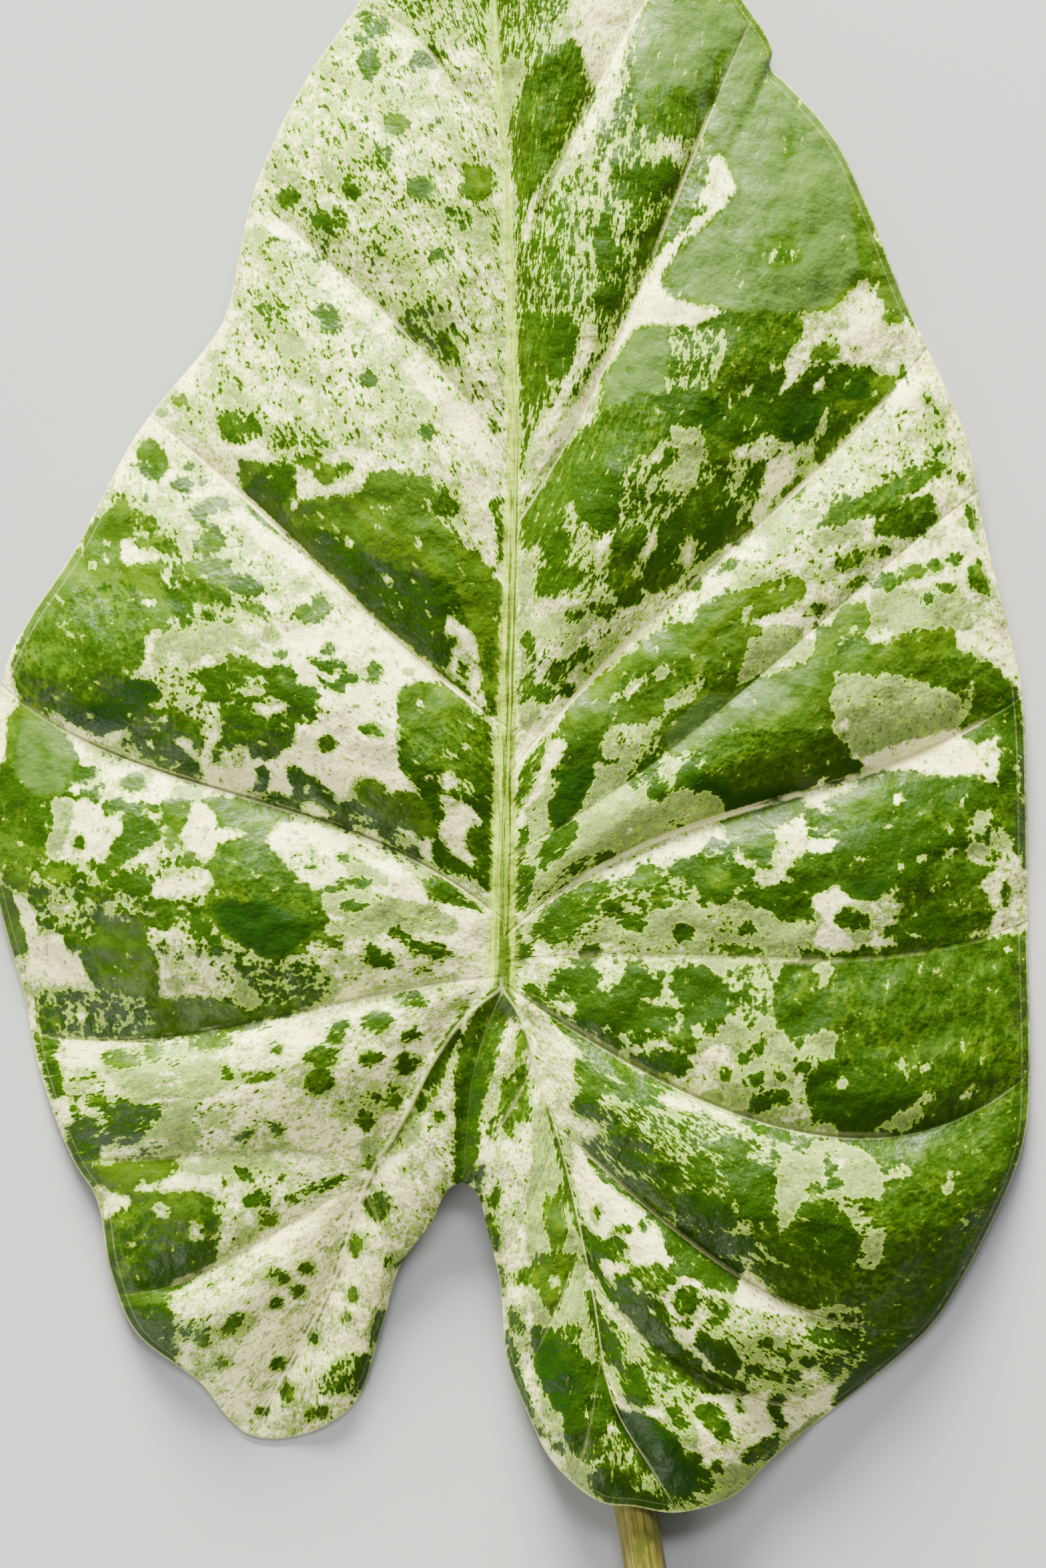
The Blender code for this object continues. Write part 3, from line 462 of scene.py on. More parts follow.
# a tone and its marks, in the order of painting. A mark of six numbers or more is an outline's
# points. A shorter one is a spot: its centre, half width, half height where it differs, and turn
marks = (
    ("freckled", (760,1000, 2000)),
    ("mixed", (640,715, 690,740, 705,795, 650,790)),
    ("fresh", (960,-60, 1110,-60, 1165,40, 1170,110, 1260,190, 1320,320, 1372,480, 1330,455, 1298,412, 1262,440,
     1235,480, 1090,455, 1040,470, 1000,450, 985,420, 1000,385, 1044,360, 1080,330, 1110,290, 1085,230, 1040,250,
     1010,200, 940,170, 938,95), (357,690, 373,689, 385,700, 440,697, 446,716, 436,726, 452,752, 545,742, 556,715,
     580,712, 612,712, 650,730, 655,745, 632,756, 700,830, 716,826, 722,846, 736,852, 736,870, 749,876, 756,900,
     757,1000, 735,1005, 722,960, 682,921, 668,925, 662,945, 668,1000, 640,985, 585,942, 524,881, 364,754), (782,1568,
     7,20, 5)),
    ("dark", (360,740, 400,700, 440,700, 440,742, 420,760, 440,790, 500,800, 560,840, 680,880, 700,935, 668,925,
     640,985, 585,942, 524,881, 401,787), (1044,480, 1081,468, 1201,466, 1198,500, 1180,528, 1173,554, 1176,570,
     1166,594, 1225,550, 1300,549, 1313,560, 1310,571, 1301,573, 1304,592, 1290,604, 1250,606, 1262,620, 1290,630,
     1262,650, 1240,691, 1224,690, 1222,645, 1195,664, 1140,650, 1130,665, 1100,672, 1060,660, 1044,650), (365,1795,
     380,1793, 390,1783, 404,1790, 398,1801, 368,1809), (563,1997, 20,9, -70)),
    ("cream", (858,60, 865,-60, 985,-60, 972,5, 945,45, 940,100, 930,120, 890,140, 872,110), (1084,-10, 1100,-10,
     1121,33, 1106,31), (1322,365, 38,4, 64), (527,817, 9,7, 30), (629,817, 10,5, 60), (582,870, 14,6, 55), (576,763,
     12,4, 60), (741,930, 3,7), (442,756, 6,10), (983,692, 7,4), (1110,691, 1130,626, 1137,627), (1092,686, 1100,675,
     1120,667, 1112,691), (1278,1130, 1298,1110, 1312,1110, 1312,1130, 1330,1120, 1336,1130, 1298,1152)),
    ("haze", (800,1200, 900,1120, 1000,1100, 1010,1200, 790,1380), (800,1660, 850,1700, 870,1830, 890,1990, 850,2000,
     800,1990, 790,1830), (350,470, 352,430, 392,330, 402,336, 364,470), (1312,405, 4,12), (618,870, 12,4, 60),
     (557,768, 5,10), (562,795, 10,4, 10), (602,912, 8,6, 40), (437,780, 3,14), (820,1716, 12,20), (803,1770, 815,1752,
     830,1752, 842,1770, 860,1850, 855,1880, 840,1900, 808,1900, 810,1850, 818,1830, 804,1800)),
    ("milky", (830,850, 870,850, 900,880, 880,910, 850,935, 800,925, 788,900, 820,885), (340,465, 524,465, 524,745,
     450,750, 440,700, 357,690, 364,754, 300,700, 200,650, 260,580)),
    ("fresh", (267,597, 9,6), (275,607, 10,5), (425,660, 450,652, 480,655, 487,670, 482,690, 470,706, 432,690),
     (208,664, 225,657, 236,666, 251,690, 251,706, 228,719, 205,696, 216,690, 206,680), (832,1830, 14,40, -5)),
    ("dark", (412,365, 12,8), (362,657, 16,8, -5), (455,681, 14,12, 30), (226,706, 13,10, 20), (272,729, 15,9)),
    ("olive", (455,388, 8,5), (485,388, 8,5), (1000,330, 1110,300, 1180,330, 1150,360, 1000,400), (741,642, 4,8, -20),
     (667,762, 13,12), (752,825, 3,15), (742,760, 4,7), (970,850, 985,825, 1010,800, 1044,780, 1060,760, 1060,860,
     1020,870, 1000,885, 975,890, 960,880, 955,905, 935,905, 945,880), (299,721, 7,5, 20), (285,700, 11,3), (1044,500,
     1140,470, 1190,480, 1170,540, 1120,590, 1044,620), (844,1790, 8,16, 20), (463,2120, 8,6, 80), (485,2118, 10,6,
     -40), (611,1893, 8,6), (751,1920, 16,3, 85), (775,1915, 8,5, 90), (792,1915, 10,5, 90), (768,1978, 14,5, 85)),
    ("specks", (90,1075, 300,1172, 560,1262, 600,1300, 400,1300, 300,1230, 100,1230), (100,1560, 330,1540, 400,1540,
     330,1620, 320,1700, 230,1720, 110,1700), (150,745, 200,720, 300,740, 345,760, 524,900, 524,942, 350,942, 200,805,
     150,800)),
    ("fresh", (490,714, 14), (165,760, 180,750, 192,752, 198,770, 190,785, 200,800, 180,812, 178,830, 190,850, 235,842,
     250,855, 245,875, 262,900, 254,942, 30,948, 60,890, 125,795)),
    ("cream", (440,335, 40,16), (1100,292, 1088,312, 1060,335, 1015,358, 998,385, 975,450, 938,490, 950,440, 990,370,
     1082,298), (1062,250, 1078,238, 1092,246, 1088,262, 1100,276, 1096,292, 1084,288), (600,540, 640,556, 752,682,
     753,700, 730,702, 680,660, 640,608, 600,575), (850,900, 26,14, -20), (1060,870, 1005,905, 950,960, 945,950,
     1000,898, 1040,872), (360,760, 524,890, 524,905, 380,810, 350,780), (117,817, 12,5, -55), (197,879, 240,905,
     231,912, 214,911), (1087,606, 1088,594, 1112,590, 1128,573, 1131,583, 1120,595), (1069,632, 1072,620, 1096,612),
     (-60,930, 30,945, 18,990, 22,1015, 50,1047, 20,1060, 12,1130, 0,1140, -60,1140)),
    ("haze", (180,1600, 270,1600, 300,1640, 280,1690, 200,1680), (692,782, 5,9, -20), (714,700, 12,6), (682,730, 12,6),
     (948,485, 958,492, 910,560, 890,610, 800,745, 792,735, 810,700), (960,830, 975,840, 960,870, 935,895, 930,885,
     950,860), (322,530, 15,8, -10), (240,618, 13,8), (138,847, 10), (150,765, 10,5, -30), (452,881, 15,9), (778,940,
     905,935, 880,985, 850,1010, 840,1042, 790,1100, 779,1090)),
    ("cream", (159,839, 8,7, 40), (765,1200, 765,1160, 803,1080, 812,1098, 790,1132, 790,1162, 778,1200)),
    ("haze", (160,814, 8,4, 30)),
    ("milky", (180,812, 205,803, 246,830, 248,843, 225,840, 198,848, 186,838), (1201,480, 1215,466, 1362,466, 1395,530,
     1352,560, 1300,547, 1215,545, 1200,553, 1178,590, 1166,595, 1176,570, 1173,550, 1180,530, 1195,515)),
    ("cream", (239,854, 250,856, 268,886, 262,892, 240,872), (1134,547, 1163,530, 1159,562, 1153,567, 1153,548)),
    # the first outline, at the top of the leaf, is partly painted shadow: mottling laid where the top lies in shade
    ("mixed", (740,-60, 865,-60, 850,40, 765,95, 748,95, 735,50), (250,850, 330,830, 350,850, 352,900, 340,942,
     262,942, 268,900), (1262,512, 24,10, 10)),
    # the outline lies on the lower side of the bulge, which falls into shade: dark green with painted shade on it
    ("deep", (266,903, 18,8, 50), (75,1005, 170,1000, 245,1035, 240,1050, 185,1090, 150,1100, 115,1085, 85,1060)),
    ("haze", (205,1016, 15,6), (178,1031, 7,3, 60), (129,1072, 8,3, 40), (262,940, 350,940, 355,960, 345,975, 380,1000,
     300,990, 250,1005, 235,1000, 226,985, 238,962)),
    ("fresh", (218,815, 9,6, 20), (300,853, 30,10, -10), (332,868, 14,22, 10), (316,816, 17,14), (459,922, 11,9, 30),
     (481,912, 10,12), (1235,530, 22,10, -10), (1340,475, 13,7), (36,1047, 48,1048, 68,1063, 104,1110, 120,1142,
     115,1152, 6,1152, 12,1075), (228,1574, 14,10)),
    ("specks", (262,985, 20,12)),
    ("cream", (196,838, 10,8), (1216,595, 1218,575, 1246,552, 1238,578, 1222,596), (187,1051, 8,3), (305,985, 318,975,
     328,1000, 322,1012, 312,1005)),
    ("haze", (1265,490, 14,6), (195,1072, 6,7)),
    ("mixed", (235,1000, 440,1000, 445,1060, 440,1110, 400,1140, 350,1110, 330,1085, 300,1065, 310,1100, 300,1135,
     300,1178, 250,1155, 180,1110, 215,1060, 250,1050)),
    ("cream", (1265,512, 8,6, 20), (1290,500, 14,20, 20), (400,945, 524,945, 524,1200, 400,1195, 320,1182, 302,1165,
     300,1135, 312,1100, 330,1090, 370,1130, 400,1140, 446,1112, 436,1000, 400,990)),
    ("dark", (790,-15, 45,18), (685,2, 30,9), (728,14, 20,22, 20), (380,880, 14,13), (305,1010, 345,1000, 435,1000,
     445,1020, 440,1050, 420,1045, 340,1050, 310,1045), (465,985, 500,1000, 502,1012, 468,996), (500,990, 524,995,
     524,1030, 512,1041, 490,1031, 480,1018, 500,1026, 515,1020, 515,1005), (541,2062, 28,8, -70)),
    ("deep", (1171,656, 1182,630, 1216,600, 1226,606, 1222,645, 1194,664)),
    ("haze", (1222,650, 1235,610, 1246,605, 1240,636, 1224,664)),
    ("specks", (860,20, 14,30), (385,1030, 24,14)),
    ("cream", (1232,640, 18,4, -65), (372,1038, 20,4), (375,1057, 425,1055, 440,1080, 420,1072, 405,1076)),
    ("olive", (751,780, 3,20), (806,888, 5,10), (518,705, 6,11), (300,890, 24,16, 20), (210,780, 22,9, 25), (246,817,
     20,8, 45), (1353,555, 4,8), (335,1065, 372,1057, 378,1070, 400,1080, 420,1074, 440,1082, 440,1115, 400,1136,
     380,1128, 365,1098, 338,1115, 335,1095, 345,1085), (210,1070, 250,1060, 300,1060, 310,1075, 300,1090, 306,1115,
     295,1127, 290,1108, 262,1098, 262,1112, 298,1145, 298,1168, 280,1170, 215,1135, 220,1110, 205,1090), (493,976,
     8,6), (798,985, 6,11), (780,1020, 800,1010, 815,1020, 812,1035, 780,1055), (60,960, 130,930, 190,960, 200,1010,
     150,1050, 90,1030)),
    ("dark", (790,785, 10,30, 10), (330,893, 14,8, 30), (357,876, 9,12, -20), (425,1090, 16,18), (400,1130, 16,6),
     (360,1080, 12,14), (275,1144, 28,14, 45), (215,1110, 20,10, 40), (450,1030, 475,1030, 480,1045, 475,1060,
     479,1080, 465,1086, 445,1080, 433,1066, 446,1052)),
    ("deep", (1281,585, 20,17)),
    ("haze", (752,100, 790,95, 850,60, 845,90, 800,130, 770,190, 755,190), (245,755, 16,8, 20), (1270,577, 11,5, -40)),
    ("fresh", (317,757, 19,9, -15), (382,913, 10,6), (1250,604, 1310,600, 1335,585, 1320,610, 1290,640, 1262,650,
     1270,625), (1324,577, 17,12, -20), (345,982, 380,985, 397,1000, 380,1008, 350,1005)),
    ("olive", (830,760, 880,790, 812,830, 808,800), (307,783, 20,5, 35), (1272,630, 14), (1240,672, 16,14, -40),
     (432,1152, 445,1152, 455,1162, 470,1165, 500,1196, 498,1207, 440,1198, 442,1178)),
    ("specks", (1120,690, 1125,670, 1160,655, 1222,672, 1222,692, 1206,722, 1184,732, 1150,762, 1122,805, 1112,800,
     1120,770, 1140,740, 1148,712), (487,1070, 16,12), (360,360, 430,360, 680,640, 720,720, 600,700, 450,660, 300,660,
     250,640, 310,560, 345,480)),
    ("cream", (1165,715, 22,30, 30), (1135,770, 24,10, -45), (350,974, 375,978, 420,1000, 400,1003), (250,1079, 6,8),
     (300,1073, 17,5, 10), (228,1118, 13,8, 35), (267,1145, 9,5), (262,1103, 285,1112, 300,1130, 298,1142, 262,1116)),
    ("olive", (1184,743, 25,6, -42), (1044,700, 1100,690, 1140,700, 1145,722, 1108,762, 1126,790, 1110,815, 1044,868),
     (425,982, 9,7), (425,1015, 14,10), (492,1116, 13,11), (345,640, 16,20)),
    ("milky", (1044,885, 1350,592, 1385,585, 1440,650, 1515,942, 1044,942), (68,1062, 250,1160, 264,1175, 256,1202,
     190,1206, 150,1185, 118,1150, 105,1110, 80,1090)),
    ("cream", (1044,885, 1204,735, 1215,740, 1050,900), (1330,602, 1355,572, 1385,590, 1388,612, 1368,632), (72,1075,
     150,1112, 120,1114, 100,1105), (190,1141, 30,8, 25), (520,945, 590,952, 700,1047, 735,1090, 737,1104, 690,1047,
     650,1026, 605,1030, 596,1110, 602,1150, 633,1192, 600,1190, 575,1170, 520,1166)),
    ("specks", (280,1060, 40,8), (345,1135, 34,22), (560,1010, 26,16)),
    ("dark", (785,185, 20,34, 15), (345,1112, 8,6, 20), (378,1182, 390,1166, 386,1154, 396,1149, 403,1156, 402,1190),
     (450,1170, 8,18, -20), (488,1195, 16,10, 30), (-60,1140, 20,1150, 110,1152, 118,1162, 110,1180, 70,1196, 80,1236,
     64,1272, 48,1274, 0,1250, -60,1250), (530,1020, 10,7), (494,476, 19,14, 25), (555,572, 10,7, 20)),
    ("olive", (1312,757, 1366,738, 1386,744, 1406,776, 1380,801, 1350,804, 1314,790), (1308,880, 1320,865, 1345,859,
     1349,870, 1336,885), (1432,838, 8,6), (1455,850, 1470,840, 1488,891, 1457,880), (326,1130, 4,10), (-60,1200,
     30,1200, 50,1225, 40,1255, -60,1250), (563,1010, 8,14, 10), (560,1095, 17,9, 10)),
    ("haze", (777,850, 800,840, 825,850, 815,880, 790,900, 778,942), (1395,608, 9,20, -20), (395,1192, 8,4), (408,955,
     16,14), (370,965, 22,8, 20), (38,1178, 12,6, 45), (55,1208, 8,4), (560,975, 24,8), (612,1008, 14,10), (632,616,
     12,10)),
    ("fresh", (1044,650, 1100,672, 1090,690, 1044,700), (1044,915, 1112,872, 1150,862, 1176,865, 1192,860, 1204,866,
     1203,892, 1190,905, 1120,930, 1044,948), (1370,857, 15,9, -10), (850,1067, 880,1032, 1000,940, 1046,935,
     1046,1018, 1000,1050, 990,1072, 960,1085, 930,1085, 906,1104, 905,1135, 880,1150, 840,1150, 855,1122, 830,1110)),
    ("mixed", (160,1130, 26,10, 15), (400,460, 22,16, 30), (380,640, 480,640, 500,680, 420,690)),
    ("olive", (1402,612, 22,2, 60), (1222,915, 12,6, -20), (1402,849, 11,9), (925,1010, 960,985, 1000,1000, 1046,1000,
     1046,1022, 1000,1050, 960,1050, 905,1090)),
    ("fresh", (1250,945, 1252,920, 1265,908, 1295,905, 1302,925, 1300,945), (200,1172, 22,12, -10)),
    ("cream", (1173,873, 17,2.5, -45), (1117,918, 12,5, -50), (462,1182, 6,8), (240,1172, 18,6, 10), (225,1197, 26,7,
     5), (178,1160, 14,10, -30), (955,1022, 990,1000, 940,1050, 930,1048), (1030,988, 1046,970, 1046,985, 1034,992)),
    ("dark", (1350,792, 22,10, -5), (592,940, 665,945, 681,985, 675,1000, 655,998), (850,1110, 870,1098, 900,1100,
     903,1132, 888,1148, 842,1145), (640,650, 9,8), (374,638, 12)),
    ("haze", (1305,890, 1420,878, 1455,900, 1460,945, 1305,945), (260,1176, 300,1183, 305,1196, 300,1202, 258,1204),
     (645,950, 8,4), (910,1050, 955,1015, 960,1022, 920,1058), (985,972, 4,8, 30), (1005,970, 3,10, 50), (920,985,
     12,6, -40), (992,1010, 14,10, -20)),
    ("deep", (822,1160, 886,1146, 893,1165, 872,1206, 838,1246, 822,1227, 818,1206, 836,1186, 838,1170)),
    ("mixed", (105,1155, 140,1155, 165,1186, 125,1204, 100,1200, 90,1190, 110,1180), (820,1176, 838,1174, 826,1196)),
    ("dark", (1389,897, 7,5), (125,1162, 18,8, -10), (125,1196, 18,7, 10)),
    ("cream", (1387,776, 10,5, -30), (113,1184, 8,6), (676,925, 718,955, 731,1056, 724,1058, 705,1043, 690,1020,
     670,1005, 681,985, 668,945)),
    ("haze", (905,1090, 950,1080, 962,1086, 990,1075, 1000,1052, 1015,1037, 1035,1022, 1050,1025, 1050,1045, 1020,1055,
     1005,1070, 955,1130, 945,1152, 900,1148, 890,1140, 900,1130)),
    ("specks", (1400,755, 20,12, 20), (572,1068, 10,14), (700,995, 16,26, -10), (940,1105, 34,16, -20)),
    ("olive", (1318,827, 14,6, -5), (1418,880, 12,5), (1441,717, 3,13), (1461,782, 26,4, 72), (1285,873, 14,5, -25),
     (405,1190, 524,1215, 524,1240, 400,1202), (678,962, 8,5, 20), (695,1012, 4,8, -20), (780,1157, 822,1105, 826,1110,
     790,1190, 780,1198)),
    ("cream", (448,1205, 470,1203, 495,1215, 500,1232, 452,1220), (820,1110, 840,1107, 856,1115, 831,1146, 815,1186,
     782,1240, 771,1246, 775,1220, 812,1160), (915,1150, 24,5)),
    ("milky", (78,1196, 150,1198, 196,1240, 165,1272, 150,1325, 120,1338, 85,1340, 92,1306, 60,1292, 75,1272,
     82,1240)),
    ("haze", (78,1196, 112,1200, 112,1222, 90,1280, 70,1285, 82,1236), (535,1060, 10,6), (784,1212, 805,1203, 820,1205,
     828,1232, 810,1292, 790,1302, 785,1262, 794,1240)),
    ("fresh", (-60,1250, 0,1254, 50,1275, 68,1273, 70,1286, 50,1300, -60,1300), (1003,1070, 1050,1050, 1050,1092,
     1000,1101, 962,1130)),
    ("olive", (190,1204, 215,1204, 245,1214, 240,1230, 200,1236, 188,1228), (912,1142, 8,3)),
    ("specks", (715,1040, 8,12), (806,1216, 9,10), (1290,620, 1400,600, 1430,680, 1450,760, 1350,760, 1200,860,
     1080,900, 1100,850, 1200,740)),
    ("mixed", (-60,1298, 75,1300, 95,1304, 94,1320, 40,1346, -60,1346), (950,1140, 965,1118, 990,1102, 1005,1105,
     995,1150, 1003,1170, 1001,1190, 985,1202, 972,1190, 975,1176, 965,1166, 950,1190, 934,1180)),
    ("dark", (500,1215, 524,1205, 524,1242, 505,1236), (985,1186, 14,12, -40), (942,1176, 8,13, 20), (975,1150, 8,20,
     20)),
    ("olive", (652,1000, 700,1036, 733,1080, 655,1012), (1180,815, 1350,715, 1370,690, 1410,660, 1420,700, 1340,755,
     1250,790, 1200,835), (1320,762, 1390,745, 1400,760, 1370,790, 1310,800)),
    ("fresh", (30,1320, 26,12, 20), (-60,1320, 10,1335, 48,1430, 20,1430, -60,1400), (715,940, 745,940, 745,1075,
     735,1070, 728,1050)),
    ("cream", (140,1265, 22,26, 20), (15,1340, 58,1350, 62,1380, 76,1398, 100,1398, 100,1430, 48,1430), (793,1276,
     6,13)),
    ("dark", (121,1266, 6,7), (733,990, 6,30), (820,1250, 866,1234, 863,1260, 835,1286, 820,1290, 818,1306, 810,1300,
     808,1285), (782,1268, 7,24, 10)),
    ("olive", (172,1208, 16,8, -30), (600,1042, 605,1031, 625,1026, 680,1036, 735,1092, 738,1240, 705,1225, 660,1180,
     655,1152, 622,1170, 603,1150), (862,1236, 8), (775,1300, 800,1298, 785,1362, 775,1366)),
    ("milky", (1000,1105, 1046,1092, 1046,1118, 1012,1165, 1003,1165)),
    ("dark", (602,1130, 625,1125, 650,1150, 668,1230, 655,1240, 630,1180, 605,1155), (690,1180, 715,1170, 738,1175,
     738,1238, 722,1236, 690,1204), (1011,1172, 1020,1150, 1046,1118, 1060,1110, 1060,1170, 1014,1184)),
    ("cream", (230,1224, 14,5, -10), (678,1131, 14,3.5, 20), (660,1162, 668,1155, 690,1165, 690,1178, 675,1186,
     664,1182), (643,1167, 9,5, 10)),
    ("mixed", (55,1345, 170,1338, 260,1352, 330,1380, 345,1430, 100,1430, 60,1372), (695,1185, 14,10, 40), (1330,640,
     1420,635, 1430,680, 1400,700, 1350,680)),
    ("mottled", (110,1690, 240,1650, 240,1720, 150,1780, 130,1760), (790,1400, 830,1330, 930,1320, 1000,1300,
     1110,1300, 1240,1290, 1240,1340, 1130,1400, 900,1400, 830,1420), (1000,1800, 1100,1830, 1150,1860, 1200,1940,
     1120,1930, 1050,1900, 990,1850), (800,1990, 900,1990, 930,2100, 990,2200, 1060,2260, 930,2260, 860,2170,
     820,2080), (790,60, 860,80, 940,60, 1000,0, 1100,0, 1060,200, 1010,340, 900,540, 790,720, 775,700, 772,400,
     775,200), (405,460, 14,26, -20)),
    ("haze", (1080,1380, 1200,1370, 1330,1340, 1340,1400, 1240,1430, 1260,1500, 1200,1580, 1130,1600, 1100,1500,
     1010,1420), (698,1118, 5,8), (895,1157, 935,1165, 955,1192, 985,1204, 1046,1178, 1060,1190, 1084,1196, 1084,1220,
     920,1285, 828,1302, 866,1256, 862,1226), (1150,770, 1190,765, 1180,790, 1130,810), (440,520, 24,16, 30)),
    ("cream", (238,1369, 24,4, 5), (672,1195, 695,1200, 722,1225, 726,1240, 702,1248, 700,1270, 726,1302, 715,1305,
     690,1290, 655,1250, 655,1235, 668,1225), (944,1242, 5,9, 10)),
    ("olive", (1012,1235, 7,3), (850,1302, 862,1290, 882,1284, 876,1300, 860,1310), (780,1985, 10,3, 90), (838,2170,
     9,5, 30)),
    ("dark", (195,1236, 215,1230, 240,1240, 243,1256, 190,1290, 170,1296, 162,1286), (905,1287, 14,8, -30), (765,2035,
     26,7, 88), (775,2075, 24,8, 72), (840,525, 26,42, 10)),
    ("fresh", (170,1390, 40,14, 10), (602,1045, 625,1027, 665,1030, 690,1050, 680,1080, 640,1090, 602,1090), (1044,940,
     1130,940, 1145,946, 1120,980, 1105,1020, 1120,1035, 1200,1010, 1225,955, 1222,940, 1260,940, 1290,962, 1430,940,
     1436,970, 1502,1005, 1502,1100, 1470,1112, 1445,1105, 1440,1055, 1400,1020, 1290,1035, 1255,1060, 1240,1090,
     1200,1098, 1100,1100, 1044,1110)),
    ("olive", (235,1358, 26,7), (862,1332, 890,1322, 906,1326, 890,1340, 868,1346), (1044,980, 1100,1000, 1090,1040,
     1044,1030), (1420,985, 1480,992, 1502,1010, 1500,1030, 1400,1040, 1395,1010), (1442,1060, 1470,1040, 1502,1030,
     1502,1098, 1470,1110, 1446,1104), (785,2105, 14,6, 65), (795,2130, 8,4, 70), (812,2148, 8,4, 20), (800,540,
     18,60)),
    ("specks", (830,1430, 900,1400, 1010,1410, 1100,1460, 1100,1540, 1030,1620, 950,1590, 860,1520), (712,1226, 12,10,
     30), (1030,1222, 24,8, -20), (787,2010, 12,22), (1240,680, 1300,620, 1350,600, 1400,640, 1390,700, 1300,720,
     1200,760, 1180,750)),
    ("haze", (680,1205, 16,8, 30), (1456,1040, 5,18, 15), (1130,962, 1145,946, 1170,955, 1222,953, 1210,996, 1155,1018,
     1150,1036, 1140,1040, 1105,1022), (1050,1025, 8,12)),
    ("cream", (200,1388, 16,6, 30), (232,1395, 12,6, 20), (270,1402, 20,8), (631,1055, 7), (1212,955, 8,6), (1430,940,
     1518,940, 1526,1000, 1517,1016, 1505,1016, 1500,1002, 1480,987, 1440,976), (1083,1097, 1114,1080, 1110,1093,
     1095,1105, 1085,1104), (1330,1147, 1420,1098, 1440,1098, 1446,1110, 1470,1116, 1496,1100, 1502,1106, 1500,1130,
     1512,1136, 1505,1146, 1480,1146, 1440,1160, 1433,1173, 1400,1150, 1395,1161, 1370,1160), (35,1400, 100,1405,
     105,1430, 135,1430, 150,1405, 158,1425, 140,1445, 60,1455, 52,1500, 52,1552, 42,1552), (230,1418, 262,1462,
     268,1496, 240,1493)),
    ("dark", (165,1302, 240,1296, 238,1312, 215,1339, 200,1339, 190,1326, 160,1326, 151,1312), (1265,967, 15,8, -30),
     (965,1557, 12,9)),
    ("mixed", (800,1340, 830,1310, 850,1300, 850,1318, 800,1365)),
    ("olive", (235,1380, 24,6, 5), (702,1240, 745,1240, 745,1332, 735,1335, 702,1270), (800,1398, 850,1347, 918,1325,
     897,1360, 850,1403, 820,1405), (50,1553, 90,1555, 80,1587, 92,1625, 90,1640, 78,1643, 50,1570), (1192,734, 15,7,
     -50)),
    ("specks", (198,1305, 20,6), (935,1325, 20,14, -30), (1482,960, 18,12, 30), (1475,1125, 26,14), (1480,1168, 18,12,
     30)),
    ("fresh", (535,1182, 545,1170, 560,1168, 585,1195, 600,1187, 620,1190, 640,1210, 655,1245, 640,1257, 600,1240,
     590,1245, 540,1200), (930,1328, 9,6, -30)),
    ("dark", (728,1275, 10,30, -15), (520,1200, 545,1208, 590,1240, 625,1272, 635,1290, 620,1296, 580,1266, 570,1245,
     520,1228), (785,1330, 9,26, 8), (810,1390, 830,1365, 860,1350, 850,1385, 830,1400), (78,1622, 20,9, 70)),
    ("cream", (215,1292, 16,5, -10), (588,1243, 605,1240, 626,1250, 610,1256), (636,1254, 650,1260, 656,1288, 640,1300,
     630,1275), (865,1392, 888,1376, 866,1402), (1484,1165, 9,8), (115,1580, 36,22)),
    ("fresh", (250,1200, 286,1200, 284,1220, 270,1240, 272,1262, 255,1268, 248,1236), (285,1292, 24,12, -20)),
    ("haze", (320,1390, 10,16), (900,1365, 960,1396, 972,1370, 1000,1356, 1046,1350, 1046,1412, 880,1412, 900,1390),
     (1264,954, 13,3, -30), (1468,980, 20,6, 30), (1505,1176, 6,9), (118,1588, 10,4), (1210,770, 16,10)),
    ("mixed", (250,1300, 30,14, -20), (905,1342, 950,1310, 1046,1290, 1046,1320, 1010,1330, 1003,1350, 970,1372,
     962,1396, 940,1390, 900,1362)),
    ("dark", (655,1250, 670,1276, 737,1322, 737,1338, 700,1312, 680,1312, 660,1302, 650,1280), (950,1384, 15,10, 10),
     (915,1360, 14,8, 20), (1022,1397, 14,12, -20), (1500,1020, 1518,1018, 1532,1050, 1542,1120, 1545,1300, 1530,1300,
     1502,1200), (210,1250, 22,24, 10)),
    ("milky", (272,1330, 34,16, 10), (850,0, 970,0, 915,140, 880,130, 870,80, 850,40)),
    ("cream", (290,1206, 300,1200, 325,1215, 330,1235, 370,1245, 364,1258, 345,1262, 318,1286, 314,1297, 270,1254),
     (1168,1000, 24,10, -20), (1300,966, 1315,950, 1332,944, 1337,955, 1325,970)),
    ("fresh", (308,1200, 395,1205, 435,1215, 430,1228, 410,1240, 402,1255, 393,1280, 396,1298, 480,1335, 485,1350,
     466,1378, 478,1392, 474,1436, 345,1436, 335,1395, 313,1355, 335,1315, 318,1305, 313,1292, 345,1262, 365,1258,
     371,1246, 328,1240, 332,1222), (965,1312, 18,14, -20), (182,1588, 24,10)),
    ("haze", (390,1214, 10,7), (690,1314, 8,5), (1530,1160, 5,30), (1534,1200, 4,16), (1510,1080, 5,16), (205,1625,
     32,22)),
    ("cream", (360,1252, 10,4), (410,1240, 430,1228, 524,1255, 524,1345, 500,1345, 405,1305, 396,1295, 395,1280),
     (705,1310, 735,1342, 725,1345), (995,1262, 1046,1243, 1100,1250, 1095,1260, 1060,1264, 1040,1280, 990,1278)),
    ("freckled", (330,1560, 560,1500, 640,1560, 600,1700, 560,1760, 400,1740, 320,1700)),
    ("dark", (1000,1300, 1010,1290, 1046,1284, 1046,1310, 1030,1316, 1010,1312), (345,1533, 44,4), (513,1535, 9,7),
     (508,1773, 20,7, -12), (618,1594, 12,9, -40)),
    ("specks", (400,1265, 430,1275, 470,1270, 500,1280, 490,1310, 450,1315, 430,1300, 400,1290), (545,1228, 12,8, 20),
     (250,1405, 340,1418, 365,1500, 380,1526, 340,1524, 320,1500, 265,1492)),
